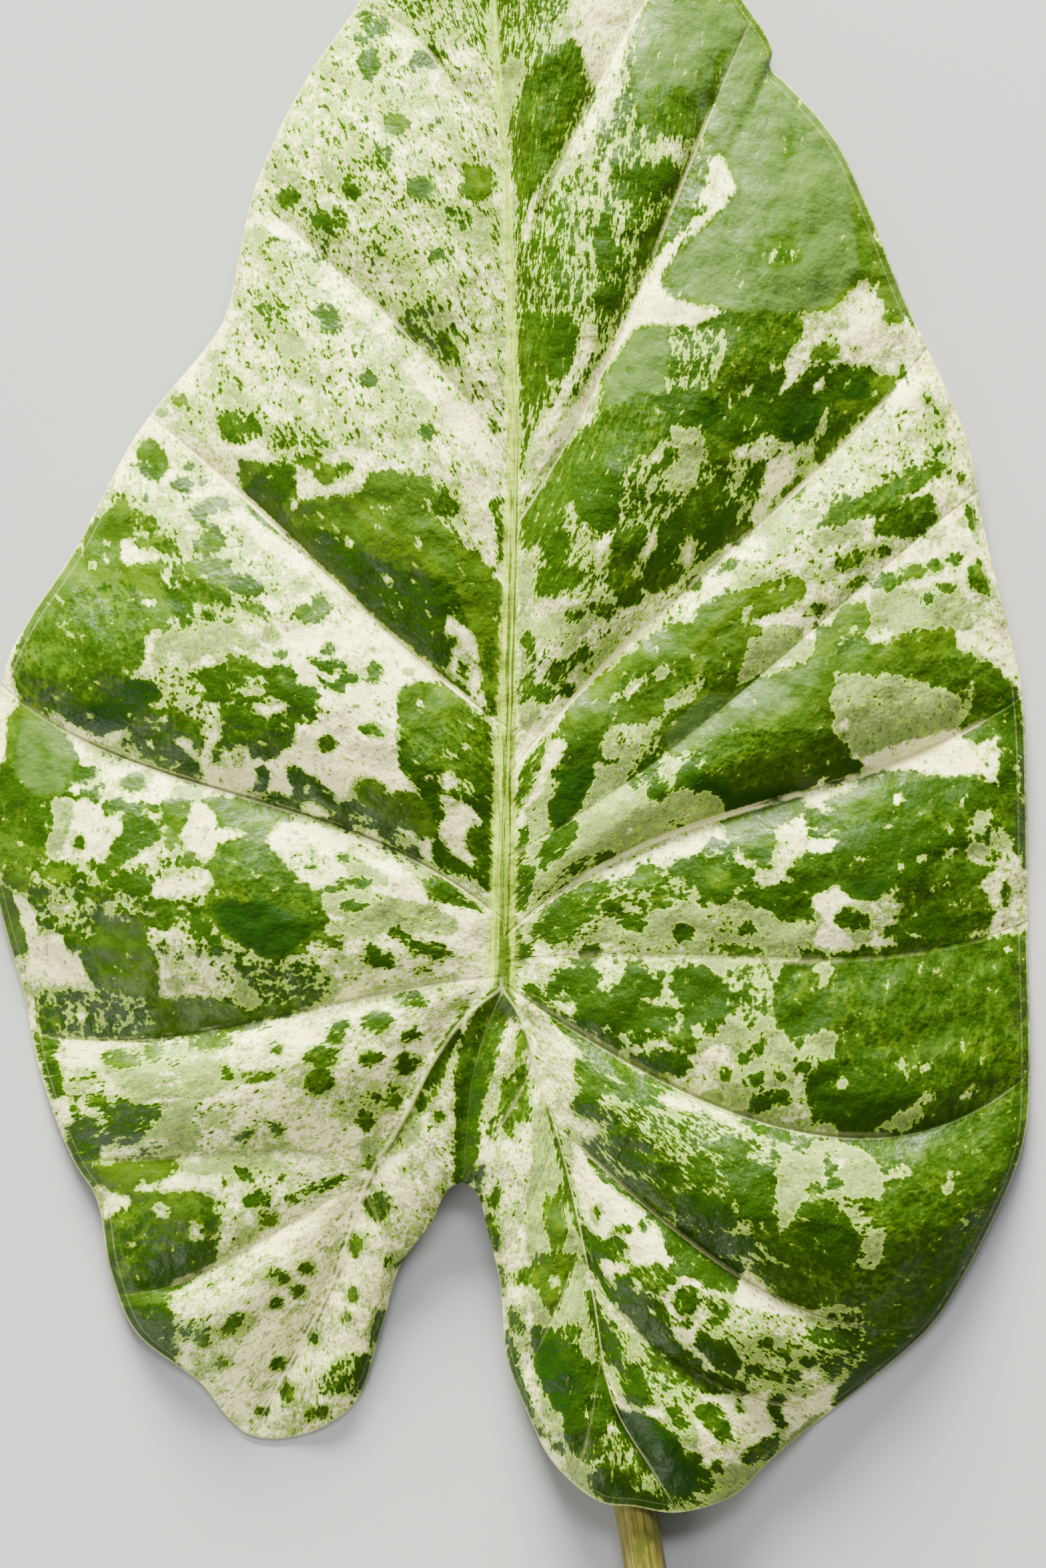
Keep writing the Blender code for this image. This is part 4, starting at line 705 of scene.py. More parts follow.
    ("olive", (517,1286, 8,6), (500,1332, 14,5), (628,1316, 655,1316, 690,1336, 726,1368, 640,1345), (769,1215, 6,22,
     15), (990,1346, 14,12), (1370,955, 12,9), (418,1571, 7,6), (370,1700, 9,5, -20), (465,1785, 9,5, -20), (440,1797,
     8,3), (615,1499, 21,7), (698,1510, 665,1560, 591,1728, 600,1726, 624,1674, 654,1640), (860,65, 872,100, 872,140,
     850,170, 845,210, 830,240, 800,290, 780,300, 770,270, 772,200, 790,130, 820,90), (1255,762, 16,9, -30)),
    ("deep", (1050,1108, 1100,1100, 1236,1099, 1233,1130, 1240,1150, 1225,1176, 1150,1206, 1090,1222, 1082,1197,
     1060,1182, 1040,1186, 1030,1176, 1046,1140)),
    ("cream", (548,1240, 560,1240, 582,1266, 565,1262), (655,1608, 652,1630, 634,1644)),
    ("fresh", (1085,1232, 1200,1196, 1206,1216, 1160,1241, 1165,1266, 1140,1294, 1120,1290, 1105,1266, 1085,1250),
     (742,1478, 768,1488, 766,1512, 750,1536, 735,1602, 715,1612, 687,1604, 690,1578, 712,1520), (335,1200, 395,1205,
     395,1235, 350,1238, 325,1220)),
    ("dark", (675,1342, 30,6, 30), (1250,1141, 1262,1135, 1296,1146, 1285,1162, 1234,1182), (1138,1281, 19,10, 15),
     (1050,1272, 1068,1256, 1100,1270, 1096,1290, 1110,1300, 1132,1302, 1125,1320, 1100,1330, 1096,1346, 1075,1356,
     1044,1322, 1040,1290), (620,1495, 8,5)),
    ("specks", (600,1262, 20,12, 30), (985,1300, 12,8), (615,1535, 16,17), (520,0, 735,0, 755,300, 762,650, 690,610,
     440,340, 380,330, 400,240, 450,120)),
    ("mixed", (610,1290, 30,8, 30), (1044,1110, 1060,1110, 1075,1135, 1066,1155, 1044,1160), (1070,1282, 18,9, 10),
     (492,340, 32,26, 30), (510,275, 26,15), (590,440, 650,450, 700,510, 690,560, 640,520), (720,330, 750,330, 750,370,
     725,365), (560,380, 18,12)),
    # the second outline, above a side vein where the skin falls away from the light, is partly painted shade
    ("haze", (510,1380, 30,22, 20), (330,1405, 390,1412, 470,1440, 512,1482, 500,1502, 440,1521, 385,1529, 362,1500),
     (270,1573, 20,7, -15), (432,1670, 15), (622,1650, 650,1720, 640,1745, 610,1740, 600,1700), (500,264, 16,12, 20),
     (660,486, 14,9, 30)),
    ("cream", (560,1288, 600,1300, 626,1320, 642,1346, 725,1370, 742,1360, 742,1430, 640,1430, 640,1402, 680,1402,
     688,1385, 660,1362, 620,1352, 560,1348, 540,1300), (1221,1166, 1238,1166, 1232,1182, 1222,1182)),
    ("olive", (1270,1116, 13,8), (1158,1222, 20,8, -20), (416,1692, 6,9), (648,1476, 7,3), (658,1676, 5,7), (432,296,
     14,12), (555,92, 13,24), (671,522, 20,9, 60), (612,500, 16,10, 50)),
    ("dark", (772,1405, 7,22), (687,1602, 703,1604, 706,1622, 716,1606, 736,1598, 718,1652, 712,1732, 702,1774,
     683,1774), (748,1440, 6,46), (528,291, 10,9), (660,385, 9,6, 10)),
    ("fresh", (1075,1315, 18,14, 20), (316,1562, 26,9, -8), (762,1440, 10,50), (632,286, 18,14), (700,252, 735,258,
     740,290, 715,305, 692,290), (594,190, 15,13)),
    ("milky", (1096,1276, 1152,1306, 1148,1328, 1130,1324, 1108,1332, 1102,1348, 1116,1350, 1120,1360, 1080,1362,
     1096,1346, 1100,1330, 1125,1320, 1130,1302, 1108,1300)),
    ("olive", (1206,1216, 1232,1214, 1240,1200, 1270,1186, 1300,1161, 1350,1156, 1400,1166, 1470,1162, 1500,1190,
     1530,1192, 1542,1250, 1500,1240, 1480,1242, 1460,1262, 1462,1282, 1500,1292, 1500,1302, 1470,1326, 1492,1370,
     1480,1392, 1440,1402, 1420,1420, 1350,1420, 1343,1380, 1362,1351, 1290,1346, 1270,1341, 1242,1322, 1230,1336,
     1205,1336, 1174,1300, 1210,1278, 1240,1283, 1256,1276, 1256,1256, 1215,1240), (710,1700, 3,60), (772,1605,
     790,1600, 792,1665, 783,1683, 775,1680, 766,1702, 754,1698, 756,1680, 764,1672, 751,1665, 752,1625, 762,1618,
     775,1626), (720,1775, 3,22, 5)),
    ("haze", (555,1310, 34,12, 20), (700,1345, 10,5, 30), (300,1620, 44,30, -10), (757,1462, 3,18), (810,1670, 9,20),
     (1250,1010, 1350,1010, 1440,1040, 1452,1080, 1290,1140, 1250,1100, 1240,1050)),
    ("olive", (766,1512, 4,16, -30), (820,1658, 847,1740, 867,1830, 902,1862, 918,1890, 890,1888, 860,1832), (762,1506,
     738,1500, 706,1556, 690,1620, 722,1650)),
    ("fresh", (1240,1202, 1286,1172, 1350,1158, 1400,1168, 1400,1185, 1300,1225, 1245,1225), (802,1880, 870,1880,
     828,1972, 800,1920)),
    ("dark", (1117,1336, 1125,1325, 1140,1325, 1150,1336, 1142,1346, 1152,1356, 1146,1362, 1125,1354, 1114,1346),
     (1256,1256, 1300,1235, 1450,1240, 1460,1262, 1400,1290, 1330,1346, 1262,1331, 1200,1332, 1176,1300, 1210,1279,
     1256,1276), (1400,1190, 70,18), (740,1800, 5,13, 5), (785,1430, 8,16, 30), (798,1482, 11,8, 20), (632,288,
     12,13)),
    ("deep", (1300,1322, 26,22, 20)),
    ("cream", (1203,1196, 1270,1172, 1286,1172, 1275,1186, 1232,1202, 1246,1214, 1216,1240, 1218,1216), (1337,1190,
     1350,1190, 1356,1198, 1338,1222, 1325,1222, 1340,1210), (1382,1342, 1425,1306, 1426,1315, 1404,1330, 1400,1342),
     (185,1566, 40,4, -5), (250,1608, 20,5), (265,1622, 30,3, -8), (245,1648, 28,5, -8), (770,1655, 4,8), (1300,1142,
     1340,1112, 1420,1096, 1450,1110, 1462,1150, 1400,1140, 1340,1158)),
    ("olive", (1250,1300, 60,14, 5), (1440,1225, 40,14), (1218,1222, 12,10), (408,1612, 13,4, -5), (341,1609, 5,8,
     -20), (737,1690, 4,11, 10), (738,1850, 9,24, -10), (790,1488, 812,1496, 880,1555, 920,1570, 927,1586, 950,1605,
     990,1615, 1010,1632, 920,1602, 880,1582), (150,1400, 200,1390, 235,1440, 240,1500, 180,1560, 110,1540, 100,1500,
     150,1480, 100,1430)),
    ("haze", (868,1880, 880,1960, 872,1992, 850,1992, 838,1968)),
    ("milky", (1155,1246, 1180,1226, 1205,1222, 1204,1240, 1240,1245, 1254,1262, 1250,1276, 1235,1281, 1210,1276,
     1180,1302, 1176,1318, 1150,1332, 1138,1316, 1160,1300, 1166,1270), (832,1922, 10,13), (1264,1088, 12,14)),
    ("cream", (1157,1318, 18,8, -20), (1298,1287, 17,4, -15), (1425,1245, 9,5, 70), (1426,1274, 14,6, -50), (1382,1286,
     13,6, -40), (1444,1201, 9,5, -70)),
    ("dark", (1227,1252, 13,5, 5), (1150,1336, 1165,1328, 1200,1335, 1216,1352, 1215,1366, 1200,1376, 1155,1373,
     1150,1366, 1170,1360), (828,1470, 840,1455, 885,1449, 895,1465, 890,1480, 910,1485, 930,1480, 945,1450, 962,1455,
     975,1475, 990,1468, 991,1490, 960,1500, 950,1510, 980,1505, 1010,1510, 1046,1503, 1046,1530, 1000,1546, 960,1540,
     930,1546, 900,1520, 897,1550, 880,1556, 865,1532, 862,1510, 870,1500, 818,1496), (918,1556, 14,9, 25), (990,1582,
     10,9), (1012,1597, 16,13), (978,1602, 12,9), (716,1600, 692,1600, 684,1772, 704,1772, 712,1690, 724,1640)),
    ("olive", (862,1590, 920,1600, 960,1615, 1100,1700, 1130,1710, 1159,1760, 1159,1800, 1152,1820, 1156,1836,
     1130,1841, 1100,1820, 1046,1850, 1000,1842, 930,1780, 900,1765, 880,1770, 865,1745, 850,1695, 865,1700, 880,1716,
     890,1706, 930,1698, 920,1680, 870,1670, 860,1650, 876,1625, 864,1610), (858,1990, 9,6), (1050,1102, 1150,1102,
     1240,1090, 1270,1130, 1200,1168, 1100,1188, 1060,1160)),
    ("haze", (1350,1300, 6,10), (1060,1352, 1080,1358, 1112,1352, 1200,1382, 1215,1390, 1212,1412, 1044,1412,
     1044,1370), (1120,1694, 1160,1708, 1172,1742, 1130,1722), (860,2010, 885,1990, 900,2040, 880,2035)),
    ("dark", (1117,1391, 11,7), (860,1652, 880,1640, 980,1652, 1046,1682, 1046,1702, 940,1696, 920,1676, 870,1670),
     (912,1730, 24,22, 20), (900,1762, 940,1755, 980,1760, 1000,1790, 1030,1810, 1046,1830, 1046,1852, 1000,1842,
     960,1802), (797,1997, 826,1990, 832,2005, 860,2018, 886,2048, 902,2056, 920,2110, 903,2150, 860,2158, 840,2142,
     805,2062)),
    ("cream", (1220,1268, 18,6), (1330,1338, 12,5, -20), (845,1485, 5,7), (1022,1525, 7,3, -10), (918,1648, 13,5, 20),
     (920,1614, 14,5, 40), (1090,1814, 1152,1862, 1130,1863), (855,1692, 870,1702, 886,1745, 905,1768, 930,1792,
     960,1806, 985,1835, 1000,1862, 1000,1900, 920,1900, 885,1845, 864,1790)),
    ("deep", (805,2010, 830,2012, 850,2050, 870,2060, 850,2130, 825,2095, 808,2050)),
    ("specks", (500,1372, 26,18), (1090,1380, 40,16), (440,1440, 40,16), (130,1625, 36,18), (640,1700, 14,26),
     (915,1460, 14), (838,2125, 10,14, -20)),
    ("dark", (864,1442, 875,1425, 890,1417, 896,1430, 880,1449), (1007,1455, 1078,1450, 1076,1465, 1098,1492,
     1101,1506, 1072,1520, 1072,1540, 1060,1556, 1044,1556, 1046,1505, 1020,1490, 1008,1470), (995,1850, 1046,1850,
     1046,1882, 1005,1892), (960,1588, 18,8)),
    ("haze", (520,1345, 560,1340, 640,1354, 672,1367, 690,1386, 680,1401, 575,1392, 560,1412, 520,1412), (880,2118,
     12,5, 80), (806,2062, 850,2150, 840,2160, 815,2120)),
    ("olive", (556,1346, 15,5), (530,1325, 20,4), (1193,1375, 20,5), (145,1652, 14,8), (108,1663, 6,8), (625,1417,
     650,1412, 670,1418, 681,1430, 660,1438), (1022,1555, 16,10), (1036,1572, 10,6), (952,1444, 8,4), (893,1817, 5,8),
     (933,1840, 9,5), (920,1862, 7), (850,2160, 930,2150, 950,2168, 1002,2252, 900,2252, 872,2216, 880,2192),
     (330,1270, 400,1265, 430,1300, 480,1340, 492,1380, 460,1400, 440,1430, 400,1432, 350,1400, 312,1370)),
    ("cream", (1215,1346, 1245,1322, 1260,1332, 1270,1345, 1265,1360, 1250,1370, 1260,1390, 1276,1400, 1276,1420,
     1215,1420, 1225,1390, 1235,1380), (92,1668, 9,18, -10), (889,2091, 9,5), (912,2125, 920,2117, 942,2150,
     910,2148)),
    ("mixed", (1450,1252, 1500,1240, 1522,1252, 1512,1290, 1480,1302, 1455,1290, 1448,1275), (1473,1232, 20,16, -20),
     (1252,1380, 1260,1362, 1280,1352, 1302,1356, 1302,1392, 1290,1402, 1265,1396), (878,1935, 905,1975, 930,1985,
     945,2010, 940,2040, 965,2066, 962,2102, 940,2106, 903,2048, 880,1990), (548,50, 18)),
    ("milky", (975,1638, 1010,1640, 1050,1655, 1050,1672, 1000,1662), (1062,1872, 32,13, 20)),
    ("dark", (1275,1378, 18,10, 10), (165,1690, 175,1675, 195,1665, 213,1672, 223,1686, 210,1700, 212,1710, 185,1724,
     148,1715, 152,1706, 165,1702), (550,1415, 560,1415, 570,1430, 586,1431, 588,1447, 565,1449, 550,1440), (1103,1862,
     20,13), (920,2225, 36,18, 30), (912,2008, 32,12, 70), (955,2082, 24,16, 50), (892,1965, 26,6, 75)),
    ("cream", (898,1885, 1050,1880, 1100,1900, 1050,1950, 1003,1970, 1020,1966, 1050,1975, 1050,2015, 1020,2006,
     1002,1990, 985,1946, 955,1936, 948,1915, 910,1900)),
    ("haze", (1466,1275, 14), (1044,1430, 1120,1435, 1180,1470, 1205,1470, 1175,1540, 1190,1552, 1235,1540, 1252,1547,
     1252,1572, 1205,1610, 1208,1640, 1222,1660, 1218,1692, 1150,1686, 1044,1645, 1044,1560, 1072,1545, 1100,1508)),
    ("specks", (975,1910, 26,18, 20)),
    ("dark", (918,1912, 935,1909, 949,1918, 951,1936, 992,1950, 1004,1970, 1001,2003, 1048,2038, 1048,2060, 975,2007,
     905,1932, 872,1880, 884,1882, 902,1914, 922,1930, 926,1920)),
    ("cream", (1465,1288, 10,4, 30), (1044,1575, 1080,1560, 1110,1580, 1150,1570, 1160,1600, 1100,1610, 1044,1640),
     (1050,1538, 8), (1210,1672, 12,10, 20), (975,1962, 10,5, 45)),
    ("sheen", (955,60, 970,20, 1000,0, 1100,0, 1090,50, 1070,100, 1060,180, 1045,200, 1000,205, 960,180, 950,120),
     (30,1080, 90,1090, 110,1150, 90,1190, 50,1190, 20,1150), (990,1112, 1030,1062, 1100,1030, 1222,990, 1225,1020,
     1070,1105, 1010,1132)),
    ("olive", (165,1665, 180,1650, 240,1665, 236,1673, 205,1665, 170,1680), (636,1455, 8,3), (1105,1424, 36,8, 5),
     (985,1900, 9,8), (930,1884, 13,5, 30), (965,140, 1000,130, 1040,150, 1050,190, 1020,205, 980,200), (40,940,
     120,880, 200,870, 225,930, 210,1000, 150,1050, 100,1070, 30,1050, 15,1000)),
    ("milky", (1465,1330, 1480,1312, 1532,1280, 1532,1300, 1516,1320, 1512,1360, 1492,1420, 1480,1420, 1490,1380,
     1486,1350, 1480,1336), (1270,1352, 1330,1346, 1346,1356, 1350,1380, 1340,1402, 1310,1416, 1302,1400, 1302,1366)),
    ("haze", (1470,1235, 14,5, -40), (935,2000, 955,2000, 972,2046, 938,2030), (1105,1010, 1120,960, 1165,935,
     1205,940, 1195,975, 1150,1015)),
    ("mixed", (905,2152, 950,2155, 952,2190, 930,2202, 905,2182), (965,2005, 1048,2068, 1048,2106, 1000,2100, 970,2082,
     960,2060)),
    ("dark", (1180,1440, 1200,1435, 1222,1445, 1196,1475, 1180,1476, 1174,1460), (1240,1442, 1250,1430, 1310,1424,
     1300,1436, 1260,1446), (1215,1430, 18,6, 20), (1005,1911, 11,8), (925,1862, 12,7, 40), (895,1862, 28,8, 40)),
    ("olive", (1345,1376, 1365,1351, 1400,1346, 1450,1351, 1480,1342, 1490,1370, 1470,1391, 1430,1402, 1415,1416,
     1370,1416, 1350,1396), (990,1928, 8,7), (965,1920, 8,4, 90), (985,2035, 20,8, 50), (955,1905, 10,7, 20)),
    ("specks", (1510,1290, 18,22), (1086,1532, 14,16), (980,205, 1045,205, 1045,235, 1010,250, 970,300, 955,290,
     975,250)),
    ("dark", (1400,1385, 50,16, -5), (1030,1946, 21,20, -10), (940,260, 975,255, 1000,240, 1015,250, 1010,280, 980,300,
     950,310, 930,300)),
    ("freckled", (945,110, 930,150, 900,190, 880,230, 830,290, 805,310, 790,370, 783,360, 795,300, 825,260, 845,220,
     920,120)),
    ("milky", (904,2050, 915,2054, 942,2105, 1000,2108, 1002,2126, 940,2121, 924,2110)),
    ("specks", (885,210, 895,210, 880,290, 870,420, 860,420, 872,260), (905,230, 915,225, 890,420, 882,410, 888,330),
     (925,310, 940,300, 920,420, 910,400)),
    ("cream", (1437,1353, 9,5, -30), (182,1707, 14,3), (895,2190, 6,8)),
    ("haze", (1376,1373, 9,4, -20), (255,1705, 46,24, -5), (850,2176, 886,2194, 896,2212, 880,2204, 876,2218, 902,2254,
     848,2202), (960,2124, 1000,2124, 1048,2138, 1048,2182)),
    ("olive", (1510,1340, 5,14), (100,1690, 125,1676, 146,1690, 135,1700, 148,1725, 146,1750, 112,1756, 98,1720),
     (1025,1982, 9,5), (1050,215, 1060,260, 1040,310, 985,380, 960,400, 955,380), (980,1925, 10,8, 20)),
    ("dark", (1340,1398, 16,8), (120,1715, 12,24), (905,370, 12,35), (912,455, 18,22), (950,2060, 16,14, 20)),
    ("deep", (910,2100, 925,2116, 970,2121, 1010,2150, 1031,2186, 1048,2200, 1048,2226, 1030,2242, 1010,2236,
     928,2140), (320,1358, 400,1352, 478,1388, 430,1432, 390,1428, 340,1395)),
    ("olive", (1041,2184, 8)),
    ("dark", (1018,2131, 13,7, 20), (1010,2112, 9,5, 10), (1048,2188, 1072,2226, 1060,2242, 1046,2230)),
    ("sheen", (1100,0, 1140,60, 1150,105, 1200,140, 1260,220, 1290,400, 1250,450, 1210,470, 1100,470, 1020,440,
     1000,410, 1040,360, 1090,320, 1110,280, 1065,200)),
    ("mixed", (1044,1930, 1070,1945, 1090,1938, 1102,1960, 1100,1996, 1060,1990, 1044,1978)),
    ("freckled", (870,480, 900,500, 880,560, 795,710, 785,700, 800,640, 830,600, 855,550), (492,1395, 560,1400,
     530,1450, 480,1470, 450,1440, 470,1405)),
    ("dark", (1085,1975, 18,14, 10)),
    ("cream", (888,2203, 8,6, 20), (1054,1967, 12,8), (1100,1900, 1120,1900, 1165,1945, 1200,1960, 1240,1990,
     1262,2100, 1130,2230, 1080,2250, 1070,2200, 1044,2160, 1044,2080, 1110,2050, 1090,2000, 1102,1960), (860,610,
     965,440, 1000,370, 1040,345, 1070,310, 1085,270, 1065,250, 1060,235, 1085,240, 1100,285, 1060,340, 1020,370,
     985,430, 1005,450, 1090,470, 1050,490, 955,490, 870,640, 790,740, 800,700)),
    ("haze", (1370,1402, 14,6, 10), (1225,1956, 1290,1950, 1310,1960, 1313,1986, 1260,1986), (480,1335, 540,1335,
     600,1360, 620,1400, 560,1390, 490,1365)),
    ("olive", (1200,1498, 1180,1520, 1174,1540, 1190,1551, 1235,1540, 1253,1548, 1252,1572, 1205,1622, 1210,1642,
     1222,1646, 1220,1666, 1230,1679, 1252,1680, 1262,1700, 1300,1726, 1308,1748, 1330,1762, 1340,1790, 1320,1830,
     1340,1852, 1340,1900, 1480,1900, 1560,1700, 1560,1400, 1280,1430, 1270,1452, 1215,1498), (1070,2126, 20,16, 30),
     (1050,2112, 8,6), (495,1408, 18,9, 20)),
    ("dark", (1400,1700, 1500,1640, 1530,1640, 1525,1740, 1470,1880, 1440,1830, 1430,1770, 1380,1740), (1044,1994,
     1085,2005, 1101,2020, 1112,2040, 1110,2056, 1080,2050, 1060,2032, 1044,2012), (1044,2050, 1110,2070, 1136,2085,
     1112,2093, 1044,2072), (1169,2098, 14,7, -10), (1153,2110, 1166,2112, 1181,2140, 1172,2146), (1110,2186,
     1120,2175, 1150,2171, 1156,2182, 1140,2196, 1120,2199), (1000,1860, 1060,1890, 1110,1900, 1100,1930, 1060,1925,
     1020,1900), (530,1358, 14,7), (600,1400, 14,8, 30), (625,1420, 10,8), (540,1322, 12,7)),
    ("sheen", (955,495, 1000,495, 1010,540, 990,590, 900,620, 905,570)),
    # the third outline, at the top of the leaf, is partly painted shadow: mottling laid where the top lies in shade
    ("mottled", (1170,385, 26,12), (1005,495, 1060,495, 1100,510, 1080,560, 1040,600, 1000,600), (735,0, 850,0, 830,40,
     790,80, 745,95), (496,336, 30,24, 30), (570,240, 14,20, 60), (690,330, 22,14, 40), (50,1290, 150,1290, 170,1340,
     140,1400, 60,1400, 40,1340)),
    ("haze", (1350,1600, 1380,1600, 1400,1610, 1396,1640, 1430,1646, 1480,1618, 1478,1633, 1400,1667, 1360,1696,
     1300,1699, 1305,1680, 1325,1661, 1366,1656, 1369,1640, 1355,1625), (1090,2190, 1130,2196, 1230,2120, 1260,2110,
     1180,2200, 1130,2240, 1070,2262, 1060,2240), (725,350, 12,24, -10)),
    ("dark", (1300,1685, 34,8, -20), (1100,1664, 1150,1690, 1250,1712, 1330,1700, 1305,1728, 1222,1716, 1205,1732,
     1185,1712, 1150,1702, 1110,1680), (1340,1880, 1480,1880, 1385,2020, 1300,2098, 1262,2120, 1250,2108, 1262,2082,
     1282,2060, 1246,2012, 1250,1992, 1290,1988, 1322,1970, 1312,1950, 1326,1926, 1312,1905), (490,335, 12,10, 20)),
    ("specks", (235,1712, 24,16), (330,1670, 30,24), (1240,1466, 26,10, -30), (955,2195, 975,2210, 1002,2252,
     955,2235), (1250,2060, 20,30)),
    ("olive", (1108,2110, 7,5, 90), (1100,475, 1200,475, 1195,510, 1100,590, 1060,600, 1090,550), (1310,1730,
     1360,1700, 1500,1700, 1520,1730, 1500,1800, 1420,1930, 1370,1990, 1310,2045, 1280,2040, 1300,1930, 1330,1850),
     (1000,2010, 26,7, 50), (150,1340, 18,8), (60,1345, 12,8)),
    ("deep", (1000,605, 1060,600, 1080,620, 1050,650, 1010,650)),
    ("milky", (150,1720, 215,1712, 210,1732, 160,1749, 148,1746)),
    ("cream", (1512,1425, 8,6)),
    ("fresh", (150,1750, 262,1735, 264,1746, 250,1766, 200,1776, 196,1790, 170,1791, 150,1772, 130,1776, 150,1830,
     152,1900, 140,1840, 108,1755), (379,1613, 10,6), (235,1500, 320,1500, 330,1530, 400,1535, 200,1560), (85,1310,
     20,9)),
    ("dark", (976,2256, 24,8, 10), (950,600, 1040,590, 1060,620, 1000,650, 940,650), (165,1310, 14,12), (205,1322,
     22,12, 10)),
    ("olive", (1250,1440, 1420,1410, 1500,1420, 1530,1480, 1535,1560, 1520,1640, 1500,1700, 1400,1690, 1380,1660,
     1360,1600, 1320,1590, 1260,1590, 1250,1560, 1260,1530, 1200,1550, 1175,1530, 1190,1490, 1210,1480, 1230,1490,
     1260,1460), (800,740, 870,650, 930,625, 1000,630, 1000,660, 860,720, 850,760, 790,830, 785,780)),
    ("mixed", (900,1640, 1000,1660, 1160,1710, 1150,1790, 1130,1850, 1050,1840, 900,1740), (1450,1835, 9,16, 20),
     # the next outline, at the top of the leaf, is partly painted shadow: mottling laid where the top lies in shade
     (590,0, 735,0, 735,90, 690,60, 640,70), (860,760, 930,700, 1000,700, 1010,760, 900,900, 820,900, 800,850)),
    ("olive", (1120,1760, 1200,1770, 1320,1800, 1300,1900, 1190,1900, 1130,1850), (640,92, 18,9), (920,805, 960,790,
     962,830, 945,860, 960,900, 932,912, 912,870), (880,918, 14,11)),
    ("cream", (148,1782, 193,1796, 190,1811, 154,1826)),
    ("freckled", (1100,1560, 1250,1560, 1240,1600, 1200,1640, 1220,1690, 1150,1680, 1020,1610, 1060,1580)),
    ("haze", (264,1747, 350,1731, 400,1731, 432,1750, 300,1766), (1110,1500, 1170,1480, 1180,1540, 1240,1555,
     1180,1575, 1110,1560), (1165,1712, 1250,1706, 1300,1725, 1330,1765, 1320,1790, 1270,1800, 1205,1795, 1185,1830,
     1165,1845, 1155,1790), (1422,1775, 9,18, 20)),
    ("cream", (262,1766, 330,1766, 345,1773, 300,1790, 268,1791)),
    ("olive", (155,1832, 200,1811, 262,1842, 265,1852, 300,1862, 322,1856, 320,1900, 150,1900), (1180,1450, 1230,1460,
     1200,1500, 1200,1560, 1165,1545, 1150,1490)),
    ("mottled", (1020,740, 1060,700, 1120,690, 1130,760, 1080,830, 1040,850, 1000,850, 1000,800), (560,40, 26,30),
     (920,1660, 1140,1710, 1160,1760, 1155,1830, 1080,1840, 1000,1830, 950,1780, 910,1720), (50,1490, 130,1480,
     220,1490, 230,1540, 150,1560, 60,1560)),
    ("fresh", (195,1792, 300,1788, 331,1800, 334,1815, 322,1857, 302,1845, 290,1825, 280,1852, 262,1850, 240,1826,
     200,1811), (150,1400, 170,1385, 215,1380, 235,1450, 230,1490, 160,1480, 140,1430)),
    ("dark", (368,1759, 15,7, 20), (340,1773, 7,5, -20), (145,1880, 318,1880, 300,1910, 241,1952, 252,1960, 259,1980,
     258,2045, 270,2062, 230,2045, 200,2012, 172,1968), (1015,1592, 15,12), (1240,1590, 1260,1575, 1350,1610,
     1375,1640, 1360,1665, 1310,1670, 1280,1690, 1220,1675, 1205,1630, 1220,1600), (858,715, 900,690, 930,700, 928,750,
     900,785, 872,775, 855,745), (835,822, 14,18, 20), (826,868, 11,14), (552,92, 13,14), (640,84, 13,9), (1095,1735,
     1140,1745, 1160,1760, 1150,1835, 1130,1830, 1100,1790, 1085,1750), (1020,1790, 1060,1780, 1090,1800, 1100,1830,
     1060,1840, 1030,1830, 1015,1805), (1020,1835, 1090,1850, 1110,1870, 1050,1880, 1010,1850), (1045,1863, 34,10,
     15)),
    ("mixed", (1240,1790, 1290,1800, 1310,1850, 1290,1850), (1350,1758, 20,14), (1085,1450, 1150,1440, 1160,1500,
     1120,1540, 1085,1520)),
    ("specks", (420,1770, 40,20), (1100,2160, 40,14, -20), (1350,1592, 10,8), (1385,1600, 16,12), (1470,1594, 12,7),
     (1210,1720, 1280,1730, 1250,1760, 1240,1800, 1225,1790, 1230,1750), (795,925, 860,905, 930,925, 965,945, 840,1060,
     800,1080)),
    ("olive", (270,2030, 8,5), (1075,2196, 8,10), (1040,740, 1080,720, 1070,780, 1040,800, 1010,800), (960,1770,
     1010,1770, 1020,1800, 990,1815, 950,1790, 935,1770), (1060,1720, 1090,1700, 1120,1725, 1090,1735), (930,1700,
     22,14, 30), (1198,1718, 12,8), (1160,1735, 8,7), (1150,2172, 22,12, -30), (70,1530, 16), (832,1010, 14,9, -40)),
    ("cream", (303,1841, 9,8), (925,768, 936,775, 895,850, 888,840), (70,1430, 120,1425, 130,1470, 90,1480, 65,1460),
     (125,1480, 20,7), (120,1525, 8,7)),
    ("dark", (316,1822, 12,24, 10), (250,1872, 321,1856, 318,1900, 250,1900), (1010,1455, 1060,1450, 1085,1480,
     1095,1510, 1060,1525, 1020,1500), (1060,780, 1100,760, 1100,800, 1070,830, 1040,830), (1000,790, 1012,810,
     1000,850, 960,870, 965,840), (1005,1755, 25,10, 20), (1242,1747, 8), (1250,1772, 10,7), (860,720, 900,705,
     925,720, 930,790, 900,800, 870,770), (1082,2145, 14,12, 30), (965,1833, 8), (815,1042, 13,9, -30), (850,1035,
     8,7)),
    ("haze", (1265,1626, 11,9), (1390,1646, 20,8, -20), (1295,1850, 1320,1850, 1322,1880, 1290,1905, 1275,1890),
     (1000,642, 1050,640, 1060,680, 1042,715, 1002,748, 992,720, 1010,690), (1100,1560, 1180,1540, 1250,1550,
     1250,1580, 1200,1600, 1180,1660, 1130,1680, 1090,1640, 1110,1600, 1090,1580), (1160,790, 30,12, -30), (790,930,
     870,915, 885,948, 800,962)),
    ("dark", (1205,1805, 1250,1815, 1280,1850, 1290,1880, 1250,1900, 1195,1860), (1134,1566, 9,14, 20), (1113,1586,
